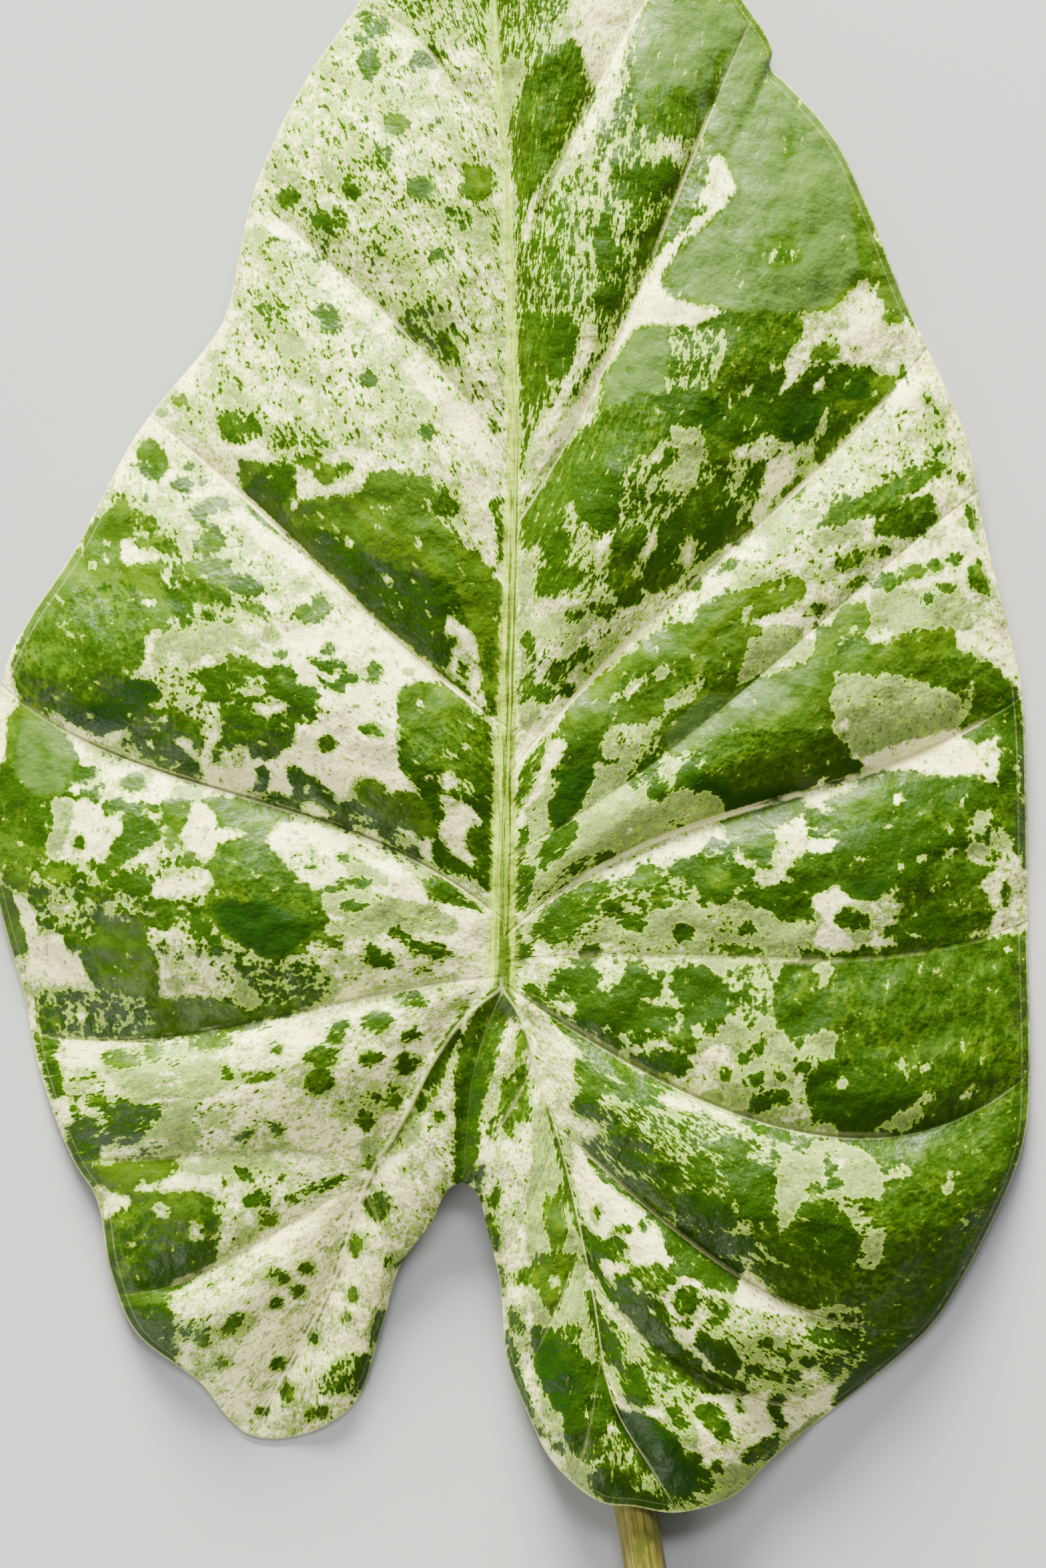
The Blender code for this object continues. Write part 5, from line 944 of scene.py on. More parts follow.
     7,5), (1200,1598, 12,7), (1128,1618, 14,10), (1140,1650, 16,10), (1170,1643, 14,9, 20), (1122,1668, 10,6),
     (1195,1560, 8,7), (1175,1510, 1230,1490, 1240,1530, 1210,1550, 1180,1545), (1003,690, 8,14, 20)),
    ("fresh", (218,1946, 34,10, -10)),
    ("milky", (240,1815, 20,12, 10), (480,1790, 560,1740, 640,1700, 660,1790, 600,1880, 560,2000, 520,2080, 440,2130,
     380,2140, 320,2100, 270,2040, 260,1960, 330,1890), (1030,830, 11,18, 10), (240,1450, 330,1450, 320,1490,
     250,1490)),
    ("olive", (200,1900, 30,20), (566,1810, 16,20), (569,1990, 9,19), (431,2093, 8,12), (415,2048, 9,7), (528,1870,
     6,9), (1150,1905, 1200,1890, 1310,1910, 1320,1950, 1200,1960, 1160,1940), (853,862, 14,10), (985,1738, 20,12, 30),
     (1050,1750, 14,20, -20), (1165,1610, 8,7), (1090,1612, 10,7), (1218,1780, 8), (110,1410, 12,14), (880,650,
     905,615, 960,600, 1000,625, 985,670, 940,700, 890,705), (862,925, 12,8), (905,915, 12,8), (792,962, 8,10),
     (870,985, 12,7, -40)),
    ("specks", (330,1810, 12,20), (1450,1640, 18,7, -25), (1100,1950, 1200,1970, 1290,1970, 1300,2040, 1270,2065,
     1200,2105, 1120,2085, 1060,2000), (1130,860, 1180,810, 1240,785, 1300,790, 1300,850, 1240,880)),
    ("mottled", (1240,1970, 1290,1960, 1300,2000, 1290,2040, 1250,2070, 1230,2050), (240,1350, 300,1355, 330,1400,
     340,1440, 310,1430)),
    ("freckled", (265,1960, 330,1900, 400,1860, 420,1900, 350,2000, 330,2090, 280,2050), (440,1550, 640,1530, 590,1700,
     540,1740, 440,1700, 400,1640)),
    ("olive", (484,1585, 22,16), (478,1620, 20,14), (505,1555, 10,8), (566,1530, 20,13), (556,1585, 14,10), (605,1590,
     10,12), (1180,2025, 12,8), (1160,2062, 10,7), (1150,2010, 8,7), (270,1365, 40,9, 10)),
    ("dark", (540,2060, 11,25, -20), (1045,2000, 1090,2010, 1110,2040, 1100,2060, 1070,2040), (506,1547, 9,7, -20),
     (615,1552, 10,6, -40), (470,2010, 7,6), (945,1735, 22,10, 30), (835,830, 14,20, 10), (820,875, 16,14), (1210,2042,
     9,8), (1225,2000, 12,8), (1130,2055, 10,8), (1040,1905, 1055,1885, 1085,1885, 1105,1905, 1100,1930, 1060,1925),
     (300,1385, 28,8, 50)),
    ("mixed", (585,1892, 8,10), (359,1985, 20), (292,1995, 25,15), (410,1918, 10,15), (560,1650, 18,25), (592,1640,
     14,20)),
    ("fresh", (534,1868, 8,12, 20), (460,1903, 10,8), (448,1937, 9,7), (425,1918, 8,7), (333,2046, 9,6, 20), (529,1943,
     7,9), (517,1978, 7,8), (391,2121, 8,6, -20), (345,1990, 12,7, -40), (300,2010, 7,9), (405,1830, 9,6, -30),
     (240,1500, 330,1500, 370,1520, 340,1540, 230,1545)),
    ("haze", (1265,800, 30,14, -20), (1230,808, 16,14), (1165,815, 20,9, -30)),
    ("olive", (985,1990, 1050,2060, 1100,2085, 1060,2088, 1010,2050), (548,1682, 8,12), (1275,840, 18,8, -20),
     (852,870, 14,10), (1250,2050, 10,8), (1190,2062, 8,7), (935,1772, 8,7), (1010,1900, 8,7)),
    ("cream", (990,768, 1002,775, 986,820, 966,850, 958,838), (100,1362, 26,7)),
    ("dark", (607,1600, 7,10, 20), (414,1955, 8,9), (1005,800, 16,26, 30), (1270,2010, 12,10), (1060,2112, 12,8)),
    ("specks", (1000,880, 1090,810, 1130,820, 1010,930, 960,960)),
    ("olive", (1040,875, 14,7, -40), (1090,850, 12,7, -30)),
    ("mottled", (514,2066, 20,26), (500,2075, 22,16, -30), (340,1420, 400,1440, 470,1440, 500,1470, 480,1500, 400,1500,
     350,1450), (930,720, 985,700, 1010,740, 990,790, 950,790, 925,760)),
    ("haze", (560,1722, 25,18), (1060,850, 24,9, -35)),
    ("fresh", (590,1650, 9,6, -40), (555,1745, 8,7)),
    ("olive", (400,1505, 480,1495, 430,1525, 340,1530)),
)


def insideSpot(xy, x, y, halfWidth, halfHeight=None, turn=0):  # how far inside it, less than 0 outside
    halfHeight = halfHeight or halfWidth
    a = np.radians(turn)
    x, y = (xy - (x, y)).T
    across, up = x * np.cos(a) + y * np.sin(a), y * np.cos(a) - x * np.sin(a)
    return (1 - np.hypot(across / halfWidth, up / halfHeight)) * min(halfWidth, halfHeight)


def insidePatch(xy, corners):
    far = np.full(len(xy), 1e9)
    inside = np.zeros(len(xy), bool)
    for a, b in zip(corners, np.roll(corners, -1, axis=0)):
        run = b - a
        t = np.clip(((xy - a) @ run) / max(run @ run, 1e-9), 0, 1)
        far = np.minimum(far, np.linalg.norm(xy - a - t[:, None] * run, axis=1))
        if a[1] != b[1]:
            crosses = (a[1] > xy[:, 1]) != (b[1] > xy[:, 1])
            inside ^= crosses & (xy[:, 0] < a[0] + (xy[:, 1] - a[1]) / (b[1] - a[1]) * run[0])
    return np.where(inside, far, -far)


def marble(xy):  # the levels of the haze, green and dark layers at each point
    place = np.array(photo["stalkAt"]) + xy * (1, -1) / photo["mmPerPixel"]
    levels = np.tile(tones["milky"], (len(xy), 1)).astype(float)
    edge = markEdge / photo["mmPerPixel"]
    for tone, *shapes in marks:
        growth = markGrowth / photo["mmPerPixel"] * (1 if tones[tone][1] > 0 else -1)
        for shape in shapes:
            spot = len(shape) < 6
            points = np.reshape(shape[:2] if spot else shape, (-1, 2))
            reach = edge + (max(shape[2:4]) if spot else 0)
            low, high = points.min(axis=0) - reach, points.max(axis=0) + reach
            near = np.flatnonzero(((place > low) & (place < high)).all(axis=1))
            inside = insideSpot(place[near], *shape) if spot else insidePatch(place[near], points)
            levels[near] += (tones[tone] - levels[near]) * smooth(-edge, edge, inside + growth)[:, None]
    return levels


# paint: a socket that takes part in sums, and a material's nodes

class Socket:
    def __init__(self, paint, socket):
        self.paint, self.socket = paint, socket

    def __add__(self, other): return self.paint.maths("ADD", self, other)
    def __radd__(self, other): return self.paint.maths("ADD", other, self)
    def __sub__(self, other): return self.paint.maths("SUBTRACT", self, other)
    def __rsub__(self, other): return self.paint.maths("SUBTRACT", other, self)
    def __mul__(self, other): return self.paint.maths("MULTIPLY", self, other)
    def __rmul__(self, other): return self.paint.maths("MULTIPLY", other, self)
    def __truediv__(self, other): return self.paint.maths("DIVIDE", self, other)
    def __rtruediv__(self, other): return self.paint.maths("DIVIDE", other, self)
    def __abs__(self): return self.paint.maths("ABSOLUTE", self, 0)


class Paint:
    def __init__(self, name, **constants):
        self.material = bpy.data.materials.new(name)
        self.material.use_nodes = True
        self.tree = self.material.node_tree
        self.shader = self.tree.nodes["Principled BSDF"]
        for key, value in constants.items():
            self.shader.inputs[key.replace("_", " ")].default_value = value

    def put(self, socket, value):
        if isinstance(value, Socket):
            self.tree.links.new(value.socket, socket)
        else:
            socket.default_value = value

    def node(self, kind, settings, values, out=0):
        made = self.tree.nodes.new("ShaderNode" + kind)
        for key, value in settings.items():
            setattr(made, key, value)
        for key, value in values.items():
            self.put(made.inputs[key], value)
        return Socket(self, made.outputs[out])

    def maths(self, operation, a, b):
        return self.node("Math", {"operation": operation}, {0: a, 1: b})

    def stored(self, name, out="Vector"):
        return self.node("Attribute", {"attribute_name": name, "attribute_type": "GEOMETRY"}, {}, out)

    def place(self):
        return self.node("TexCoord", {}, {}, "Object")

    def parts(self, vector):
        return [self.node("SeparateXYZ", {}, {0: vector}, k) for k in range(3)]

    def vector(self, x, y, z):
        return self.node("CombineXYZ", {}, {0: x, 1: y, 2: z})

    def rise(self, value, low, high):  # 0 at low and past it, 1 at high and past it, smooth between
        return self.node("MapRange", {"interpolation_type": "SMOOTHSTEP"}, {0: value, 1: low, 2: high})

    def mix(self, share, a, b):
        return self.node("Mix", {"data_type": "RGBA", "clamp_factor": True}, {0: share, 6: a, 7: b}, 2)

    def noise(self, vector, scale, detail=2.0, roughness=0.5, out="Fac"):
        values = {"Vector": vector, "Scale": scale, "Detail": detail, "Roughness": roughness}
        return self.node("TexNoise", {}, values, out)

    def cells(self, vector, scale):  # distance from a cell's middle, and a colour for each cell
        made = self.node("TexVoronoi", {"feature": "F1"}, {"Vector": vector, "Scale": scale}, "Distance")
        return made, Socket(self, made.socket.node.outputs["Color"])

    def bump(self, strength, distance, height):
        values = {"Strength": strength, "Distance": distance, "Height": height}
        return self.node("Bump", {}, values, "Normal")

    def finish(self, **links):
        for key, value in links.items():
            self.put(self.shader.inputs[key.replace("_", " ")], value)
        return self.material


def colour(code):  # a hex colour as Blender's linear colour
    parts = [int(code[k:k + 2], 16) / 255 for k in (0, 2, 4)]
    return tuple(c / 12.92 if c <= 0.04045 else ((c + 0.055) / 1.055) ** 2.4 for c in parts) + (1.0,)


upperTones = dict(
    cream="fdf7ba", creamMottle="d2e070", creamShade="c6b878", lime="aecb4c", greenEdge="547610",
    greenYellow="426002", green="304c06", greenLight="3c5a12", greenOlive="3e4e00", dark="1e3c00",
    darkOlive="344800", deep="143400", paintedSheen="4c6630", haze="688638", hazeMottle="4a6822", vein="f2eea2",
    veinDark="2c4408", dot="4a6612", fleck="b0c840", midrib="aac43c", midribStreak="46620a", rim="dfe698",
)
underTones = dict(
    cream="e2e0b4", creamMottle="cbd69a", creamShade="d2cfa6", lime="b8cc8a", greenEdge="84a060",
    greenYellow="76925a", green="6d8c52", greenLight="7d9a5c", greenOlive="7c944e", dark="527240",
    darkOlive="64804a", deep="456634", paintedSheen="86a068", haze="a0b878", hazeMottle="8ea86a", vein="dbe0a6",
    veinDark="8a9c68", dot="8ba064", fleck="b2c486", midrib="c2cf84", midribStreak="90a860", rim="d8dea4",
)
skinGrain = dict(              # noises and cells are given by how many of them lie in a mm
    grain=2.2, fine=1.1, flowing=0.6, medium=0.3, broad=0.12, swell=0.075, beads=1.0, lobes=0.45, wander=0.5,
    bend=1.6,                  # how far the cells stray from their rows
    cellStretch=0.85, flowStretch=0.36,  # cells and flowing noise are drawn out along the side veins
    middle=0.42,               # a cell's usual distance from its middle
    dots=((0.36, 0.3, 0.34), (0.62, 0.32, 0.5), (1.05, 0.35, 0.5)),  # cells, size of a dot, greatest share
    fleckCells=0.7, fleckShare=0.1,
    linesFrom=135, linesTo=95,  # the midrib's two dark lines come in between these, in mm from the stalk
    bumpStrength=0.5, bumpDepth=0.0014,
)


def leafSkin(name, tones, roughness):
    paint = Paint(name, IOR=1.4, Specular_IOR_Level=0.22)
    rise, mix, noise, vector, grains = paint.rise, paint.mix, paint.noise, paint.vector, skinGrain
    tone = {key: colour(code) for key, code in tones.items()}
    along, across, toEdge = paint.parts(paint.stored("flow"))
    haze, green, dark = paint.parts(paint.stored("layers"))
    veinOff, veinPale, veinDark = paint.parts(paint.stored("vein"))
    ribOff, ribHalf, ribAlong = paint.parts(paint.stored("rib"))
    place = paint.node("VectorMath", {"operation": "SCALE"}, {0: paint.place(), "Scale": 1 / mm})
    bent = paint.node("VectorMath", {"operation": "MULTIPLY_ADD"}, {
        0: noise(place, grains["wander"], 2, out="Color"), 1: (grains["bend"], grains["bend"], 0.0),
        2: vector(along * grains["cellStretch"], across, 0.0)})
    drawn = vector(along * grains["flowStretch"], across, 0.0)
    fine = noise(place, grains["fine"], 3, 0.65) - 0.5
    medium = noise(place, grains["medium"], 2) - 0.5
    flowing = noise(drawn, grains["flowing"], 3, 0.6) - 0.5
    grain = noise(place, grains["grain"], 2, 0.7) - 0.5
    broad = noise(drawn, grains["broad"], 2) - 0.5
    lobes = grains["middle"] - paint.cells(bent, grains["lobes"])[0]
    beads = grains["middle"] - paint.cells(bent, grains["beads"])[0]
    jag = fine * 4.0 + medium * 2.5 + flowing * 3.6 + lobes * 2.4 + beads * 2.8
    soft = medium * 3.5 + broad * 5.0 + fine * 3.0 + beads * 0.8
    cover = green + jag

    # the pale ground: mottled cream under haze, with dots that thicken towards the green
    mottle = rise(fine * 0.7 + flowing * 0.5 + grain * 0.25 + beads * 0.2, -0.06, 0.12)
    cream = mix(mottle * rise(green + broad * 3, -3.6, -0.6), tone["cream"], tone["creamMottle"])
    cream = mix(rise(medium + grain * 0.5, 0.0, 0.2) * 0.5, cream, tone["creamShade"])
    veil = mix(mottle, tone["haze"], tone["hazeMottle"])
    pale = mix(rise(haze + soft, -0.8, 0.8) * 0.9, cream, veil)
    for scale, size, most in grains["dots"]:
        dots, dotTint = paint.cells(bent, scale)
        pick, tint, _ = paint.parts(dotTint)
        share = rise(green + broad * 4, -4.4, -0.3) * most
        dotMask = rise(dots + (tint - 0.5) * 0.16 + fine * 0.3, size, size - 0.12)
        dotMask = dotMask * rise(pick - share, 0.03, -0.03)
        pale = mix(dotMask * (0.45 + tint * 0.5), pale, tone["dot"])
    pale = mix(rise(cover, -1.5, -0.3) * 0.75, pale, tone["lime"])

    # the green: light, yellow and dark parts, a painted sheen where the haze layer runs past full, flecks and a
    # lighter edge
    speckle = rise(grain + fine * 0.6, -0.02, 0.12)
    leafGreen = mix(rise(medium + fine * 0.5, -0.05, 0.1), tone["green"], tone["greenLight"])
    leafGreen = mix(rise(broad + medium * 0.5, 0.0, 0.12), leafGreen, tone["greenYellow"])
    leafGreen = mix(speckle * 0.4, leafGreen, tone["greenOlive"])
    # painted sheen: a greyed green where the haze layer runs past full, mostly under the sheen marks
    leafGreen = mix(rise(haze + broad * 4 + medium * 3, 3.4, 4.6) * 0.65, leafGreen, tone["paintedSheen"])
    darkGreen = mix(speckle * 0.6, tone["dark"], tone["darkOlive"])
    darkGreen = mix(rise(dark + soft * 0.5, 1.6, 3.8), darkGreen, tone["deep"])
    leafGreen = mix(rise(dark + jag * 0.9, -0.7, 0.7), leafGreen, darkGreen)
    flecks, fleckTint = paint.cells(vector(along * 0.3, across * 0.75, 7.0), grains["fleckCells"])
    fleckPick = rise(paint.parts(fleckTint)[0], grains["fleckShare"] + 0.02, grains["fleckShare"] - 0.02)
    fleckMask = rise(flecks + fine * 0.9, 0.26, 0.14) * fleckPick * rise(green, 4.6, 2.2)
    leafGreen = mix(fleckMask * 0.75, leafGreen, tone["fleck"])
    leafGreen = mix(rise(cover, 0.8, 0.0), leafGreen, tone["greenEdge"])
    isGreen = rise(cover, -0.4, 0.4)
    skin = mix(isGreen, pale, leafGreen)

    # side veins, pale with a dark line in places down the furrow: dark green, and partly painted crease shade
    veinMask = rise(veinOff + fine * 0.8, 0.95, 0.35) * rise(broad + flowing * 0.6, -0.12, 0.1) * veinPale
    skin = mix(veinMask, skin, tone["vein"])
    skin = mix(rise(veinOff + fine * 0.6, 0.5, 0.15) * veinDark * 0.8, skin, tone["veinDark"])

    # the midrib, streaked and lined, and the lobes' ribs past the stalk
    atStalk = blade["stalkPaint"]
    streak = rise(noise(vector(ribOff, ribAlong * 0.1, 3.0), 1.0, 3, 0.6), 0.46, 0.58)
    knotEnd = rise(ribAlong + fine * 9, atStalk - 15, atStalk - 8)
    knotEnd = knotEnd * rise(abs(ribOff - 0.6 + flowing * 2), 1.5, 0.8)
    lines = rise(abs(ribOff + 0.35), 0.7, 0.35) + rise(abs(ribOff - 1.45), 0.45, 0.2)
    lines = lines * rise(ribAlong, atStalk - grains["linesFrom"], atStalk - grains["linesTo"])
    lines = lines * rise(noise(vector(ribOff, ribAlong * 0.03, 9.0), 1.0, 2), 0.3, 0.5)
    midrib = mix(streak * 0.6 + lines * 0.85 + knotEnd, tone["midrib"], tone["midribStreak"])
    onMidrib = rise(ribAlong, atStalk + 3, atStalk - 3)
    skin = mix(rise(abs(ribOff) / ribHalf + flowing * 1.6, 1.25, 0.85) * onMidrib, skin, midrib)
    beside = rise(abs(ribOff + 1.0 + flowing * 2), 0.6, 0.3) * rise(medium + flowing, -0.1, 0.05)
    skin = mix(beside * (1 - onMidrib) * 0.7, skin, tone["veinDark"])
    skin = mix(rise(abs(ribOff), 0.6, 0.25) * (1 - onMidrib) * 0.28, skin, tone["vein"])

    # the fine vein beside the edge and the pale rim
    skin = mix(rise(abs(toEdge - 2.2), 0.3, 0.1) * 0.07, skin, tone["vein"])
    skin = mix(rise(toEdge, 0.65, 0.3) * 0.4, skin, tone["rim"])

    # the fine relief, sunk along the side veins
    ripple = noise(vector(along * 0.05, across * 0.4, 1.0), 1.0, 2)
    height = noise(place, grains["swell"], 1) * 5.0 + medium + ripple * 0.12 + fine * 0.16 + grain * 0.05
    height = height - rise(veinOff, 0.7, 0.1) * 0.2
    bump = paint.bump(grains["bumpStrength"], grains["bumpDepth"], height)
    return paint.finish(Base_Color=skin, Roughness=isGreen * -0.04 + fine * 0.3 + roughness, Normal=bump)


def store(mesh, name, values):  # keeps one number or three for each point, for the paint to read
    kind, key = ("FLOAT", "value") if values.ndim == 1 else ("FLOAT_VECTOR", "vector")
    stored = mesh.attributes.new(name, kind, "POINT")
    stored.data.foreach_set(key, values.astype(np.float32).ravel())


def makeBlade():
    halves = [Half(-1, leftEdge, leftCosta, leftCostaHeight, leftVeins),
              Half(1, rightEdge, rightCosta, rightCostaHeight, rightVeins)]
    xy, upper, _, faces, order, fields = bladeSide(halves, blade["upperStep"], "upper side")
    underside = bladeSide(halves, blade["lowerStep"], "lower side")
    xyUnder, _, lower, facesUnder, orderUnder, fieldsUnder = underside
    count = len(xy)
    below = {key: k + count for k, key in enumerate(orderUnder.tolist())}
    used = {pair for a, b, c in faces.tolist() for pair in ((a, b), (b, c), (c, a))}
    rim = [(a, b) for a, b in used if (b, a) not in used]
    band = []
    for a, b in sorted(rim):
        underA, underB = below[order[a]], below[order[b]]
        band.extend(((b, a, underA), (b, underA, underB)))
    under = (facesUnder[:, ::-1] + count).tolist()
    verts = np.vstack([np.column_stack([xy, upper]), np.column_stack([xyUnder, lower])])
    low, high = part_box("blade")
    shift = np.array([(low.x + high.x) / 2 / mm - (xy[:, 0].min() + xy[:, 0].max()) / 2,
                      (low.y + high.y) / 2 / mm - (xy[:, 1].min() + xy[:, 1].max()) / 2, 0])
    verts = (verts + shift) * mm
    verts[:, 2] = np.minimum(verts[:, 2], high.z)
    mesh = bpy.data.meshes.new("bladeSkin")
    mesh.from_pydata(verts.tolist(), [], faces.tolist() + under + band)
    for name, values in fields.items():
        store(mesh, name, np.vstack([values, fieldsUnder[name]]))
    mesh.materials.append(leafSkin("leafFace", upperTones, 0.4))
    mesh.materials.append(leafSkin("leafBack", underTones, 0.55))
    slots = np.zeros(len(mesh.polygons), np.int32)
    slots[len(faces):len(faces) + len(under)] = 1
    mesh.polygons.foreach_set("material_index", slots)
    mesh.shade_smooth()
    made = bpy.data.objects.new("bladeSkin", mesh)
    bpy.context.collection.objects.link(made)
    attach(made, "root")
    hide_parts("blade")
    print("blade made,", len(mesh.polygons), "triangles")
    return shift


shift = makeBlade()


# the leaf stalk

stalk = dict(
    radiusTop=4.5, radiusCut=5.3, sides=56, ringStep=1.3,
    pressed=0.4,               # its lying side is pressed flat by this much
    path=[(0.6, -1.2), (4.2, -15), (11, -42), (22, -84), (31, -121), (37, -165), (41, -222)],
    lift=[(0, 4.9), (15, 3.3), (38, 0.4), (60, 0), (300, 0)],
    bendRadius=5.0, bendRings=9, neckHeight=15.6, neckFlare=0.7,
    cutEdge=0.35,              # the cut's edge is a little round
    cutDish=0.35, cutRings=(0.97, 0.9, 0.78, 0.62, 0.44, 0.24, 0.08),
    ridges=7, ridgeDepth=0.07, ridgeTwist=0.012, wander=0.12, wanderTwist=0.05,
)
stalkTones = dict(
    skin="5a5410", pale="7e7636", green="465410", tan="5c4a10",
    cutRim="8fa04e", cutCore="dfe2b4", cutDot="a7ac6a",
)


def stalkSkin():
    paint = Paint("stalkSkin", Roughness=0.42, IOR=1.42)
    rise, mix, noise, vector = paint.rise, paint.mix, paint.noise, paint.vector
    tone = {key: colour(code) for key, code in stalkTones.items()}
    x, y, along = paint.parts(paint.stored("round"))
    cut = paint.stored("cut", "Fac")
    streaks = noise(vector(x, y, along * 0.035), 1.1, 4, 0.6)
    mottle = noise(vector(x, y, along * 0.35), 0.4, 3, 0.55)
    skin = mix(rise(streaks, 0.38, 0.62), tone["skin"], tone["pale"])
    skin = mix(rise(mottle, 0.5, 0.62) * 0.75, skin, tone["green"])
    skin = mix(rise(mottle, 0.42, 0.34) * 0.5, skin, tone["tan"])
    bundles, _ = paint.cells(vector(x, y, 0.0), 1.5)
    core = mix(rise(bundles, 0.34, 0.24), tone["cutCore"], tone["cutDot"])
    face = mix(rise(cut, 0.16, 0.08), core, tone["cutRim"])
    skin = mix(rise(cut, 0.005, 0.03), skin, face)
    return paint.finish(Base_Color=skin, Normal=paint.bump(0.35, 0.0003, streaks))


def sideways(ahead):
    return np.array([ahead[1], -ahead[0], 0.0])


def makeStalk():
    line = Path(stalk["path"])
    far = line.length * np.linspace(0, 1, round(line.length / stalk["ringStep"]))
    run = line.at(np.clip(far + 1, 0, line.length)) - line.at(np.clip(far - 1, 0, line.length))
    run /= np.linalg.norm(run, axis=1)[:, None]
    radius = stalk["radiusTop"] + (stalk["radiusCut"] - stalk["radiusTop"]) * far / line.length
    lift = profile(stalk["lift"], far)
    turn = 2 * np.pi * (np.arange(stalk["sides"]) + 0.5) / stalk["sides"]
    rings, skins, cuts = [], [], []

    def ring(centre, across, up, r, along, share=1.0, cut=0.0):
        ridge = 0.5 + 0.5 * np.cos(turn * stalk["ridges"] + stalk["ridgeTwist"] * along)
        wander = 0.5 + 0.5 * np.sin(2 * turn + stalk["wanderTwist"] * along)
        ridged = 1 - (stalk["ridgeDepth"] * ridge + stalk["wander"] * wander) / r
        x, y = r * share * np.cos(turn), r * share * np.sin(turn)
        points = centre + np.outer(x * ridged, across) + np.outer(y * ridged, up)
        points[:, 2] = np.maximum(points[:, 2], 0)
        rings.append(points)
        skins.append(np.stack([x, y, np.full(len(turn), along)], axis=1))
        cuts.append(np.full(len(turn), cut))

    start = np.array([*line.at(0.0), lift[0] + radius[0] - stalk["pressed"]])
    across, back = sideways(run[0]), np.array([*-run[0], 0.0])
    upward = np.array([0.0, 0.0, 1.0])
    bend = stalk["bendRadius"]
    topOfBend = start + bend * back + bend * upward
    for height in np.linspace(stalk["neckHeight"], topOfBend[2], 3)[:-1]:  # the neck, up into the blade
        flare = 1 + stalk["neckFlare"] / radius[0] * smooth(topOfBend[2], stalk["neckHeight"], height)
        along = topOfBend[2] - height - bend * np.pi / 2
        ring(np.array([*topOfBend[:2], height]), across, -back, radius[0] * flare, along)
    for angle in np.linspace(np.pi / 2, 0, stalk["bendRings"])[:-1]:
        centre = start + bend * np.sin(angle) * back + bend * (1 - np.cos(angle)) * upward
        ring(centre, across, np.cos(angle) * upward - np.sin(angle) * back, radius[0], -bend * angle)
    for xy, ahead, r, up, d in zip(line.at(far), run, radius, lift, far):
        centre = np.array([*xy, up + r - stalk["pressed"]])
        ring(centre, sideways(ahead), upward, r, d)
    inward = np.array([*-run[-1], 0.0])
    rings[-1] = rings[-1] + stalk["cutEdge"] * inward
    for share in stalk["cutRings"]:
        dish = stalk["cutDish"] * smooth(stalk["cutRings"][0], 0.3, share)
        centre = np.array([*line.at(line.length), radius[-1] - stalk["pressed"]]) + dish * inward
        ring(centre, sideways(run[-1]), upward, radius[-1], line.length, share, 1.02 - share)
    n = stalk["sides"]
    faces = [(k * n + i, (k + 1) * n + i, (k + 1) * n + (i + 1) % n, k * n + (i + 1) % n)
             for k in range(len(rings) - 1) for i in range(n)]
    faces += [tuple(range(n)), tuple(reversed(range((len(rings) - 1) * n, len(rings) * n)))]
    mesh = bpy.data.meshes.new("stalkSkin")
    mesh.from_pydata(((np.vstack(rings) + shift) * mm).tolist(), [], faces)
    store(mesh, "round", np.vstack(skins))
    store(mesh, "cut", np.concatenate(cuts))
    mesh.materials.append(stalkSkin())
    mesh.shade_smooth()
    made = bpy.data.objects.new("stalkSkin", mesh)
    bpy.context.collection.objects.link(made)
    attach(made, "root")
    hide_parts("leaf_stalk")
    print("stalk made,", len(faces), "faces")


makeStalk()


# floor, light and camera

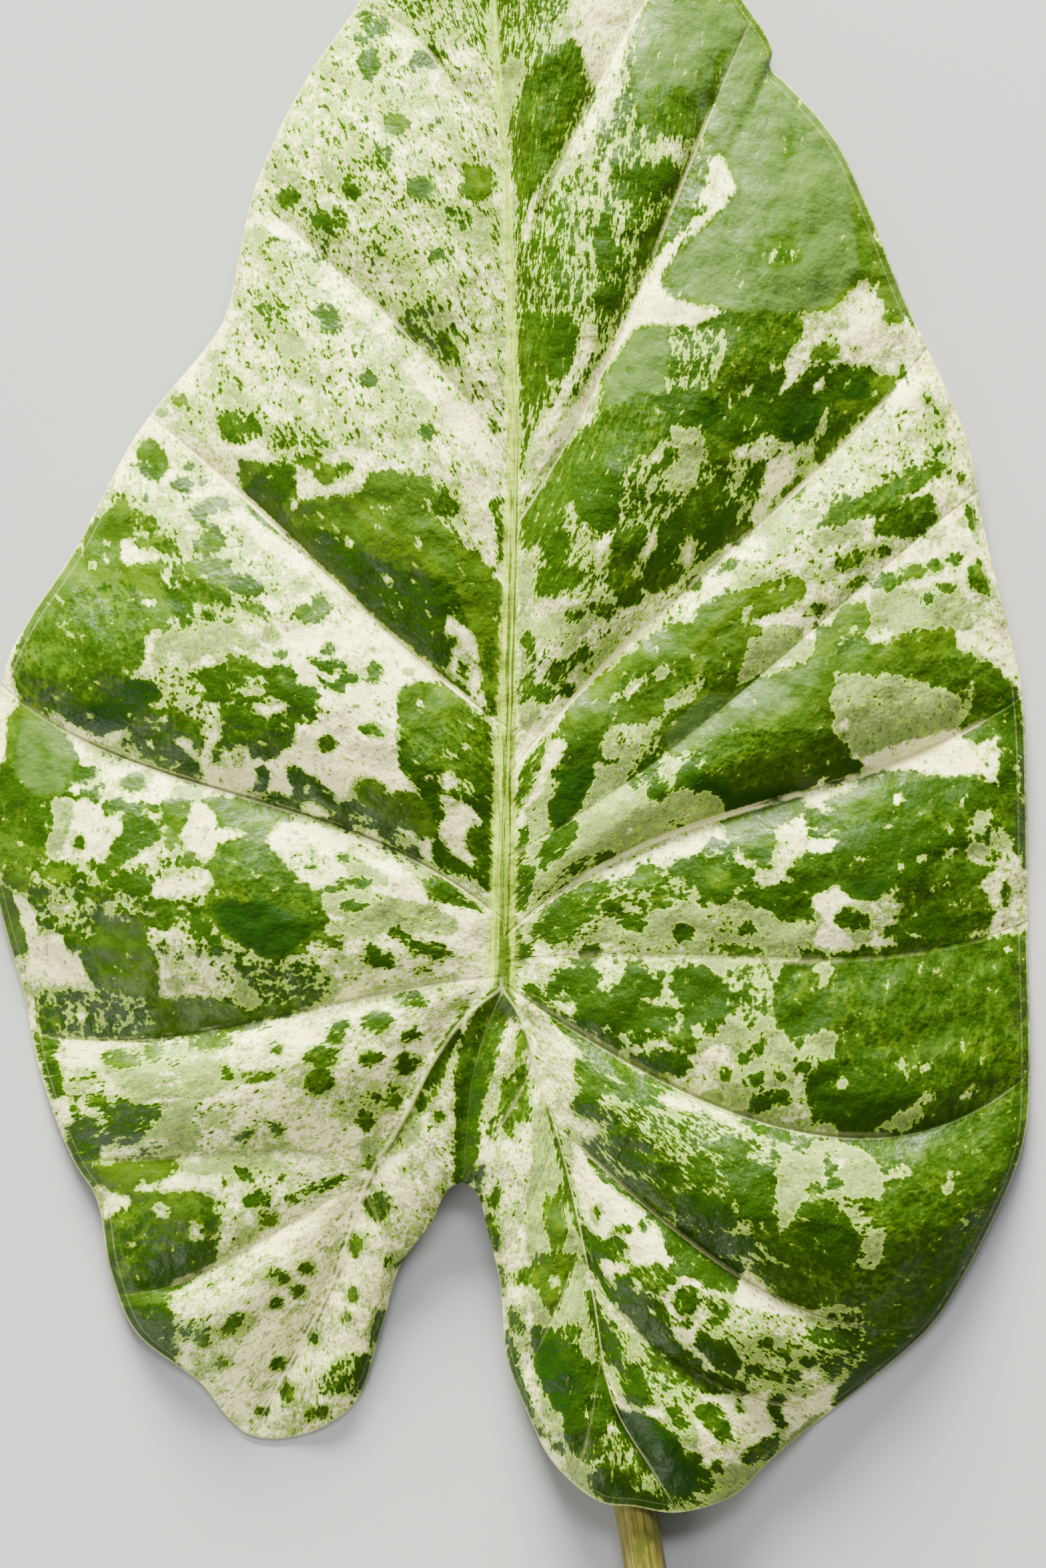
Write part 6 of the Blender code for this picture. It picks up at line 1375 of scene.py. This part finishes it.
studio = dict(
    photoCentre=(784, 1175.5), viewHeight=0.3644, focusHeight=0.012, lens=200.0, sensor=36.0,
    floorHalf=4.0, floorColour="a9abb0", floorRoughness=0.8,
    worldStrength=0.3, skyColour=(1.0, 0.97, 0.86, 1),
    # a low key light from the tip's side, a high one for the sheen, and a weak fill beside the left lobe
    panelAt=(-0.4, 3.4, 1.15), panelSize=(2.0, 0.9), panelPower=1100.0, panelColour=(1.0, 0.97, 0.8),
    skyPanelAt=(0.2, 1.5, 2.0), skyPanelSize=(1.6, 0.7), skyPanelPower=50.0,
    skyPanelColour=(0.95, 0.98, 1.0),
    fillPanelAt=(-0.7, -0.9, 0.42), fillPanelSize=(0.6, 0.5), fillPanelPower=12.0,
    fillPanelColour=(1.0, 0.99, 0.9),
)


def makeStudio():
    half, floorColour = studio["floorHalf"], colour(studio["floorColour"])
    mesh = bpy.data.meshes.new("floor")
    corners = [(-half, -half, 0), (half, -half, 0), (half, half, 0), (-half, half, 0)]
    mesh.from_pydata(corners, [], [(0, 1, 2, 3)])
    floor = bpy.data.objects.new("floor", mesh)
    floorPaint = Paint("floorPaint", Base_Color=floorColour, Roughness=studio["floorRoughness"])
    mesh.materials.append(floorPaint.material)
    bpy.context.collection.objects.link(floor)
    world = bpy.data.worlds.new("softSky")
    world.use_nodes = True
    sky = world.node_tree.nodes["Background"].inputs
    sky["Color"].default_value = studio["skyColour"]
    sky["Strength"].default_value = studio["worldStrength"]
    bpy.context.scene.world = world
    for name in ("panel", "skyPanel", "fillPanel"):
        light = bpy.data.lights.new(name, "AREA")
        light.shape = "RECTANGLE"
        light.size, light.size_y = studio[name + "Size"]
        light.energy, light.color = studio[name + "Power"], studio[name + "Colour"]
        panel = bpy.data.objects.new(name, light)
        panel.location = studio[name + "At"]
        panel.rotation_euler = (-Vector(studio[name + "At"])).to_track_quat("-Z", "Y").to_euler()
        bpy.context.collection.objects.link(panel)
    lens = bpy.data.cameras.new("camera")
    lens.lens, lens.sensor_width = studio["lens"], studio["sensor"]
    camera = bpy.data.objects.new("camera", lens)
    x = (studio["photoCentre"][0] - photo["stalkAt"][0]) * photo["mmPerPixel"] + shift[0]
    y = (photo["stalkAt"][1] - studio["photoCentre"][1]) * photo["mmPerPixel"] + shift[1]
    away = studio["viewHeight"] * studio["lens"] / studio["sensor"]
    camera.location = (x * mm, y * mm, studio["focusHeight"] + away)
    bpy.context.collection.objects.link(camera)
    bpy.context.scene.camera = camera


makeStudio()
print("studio made")
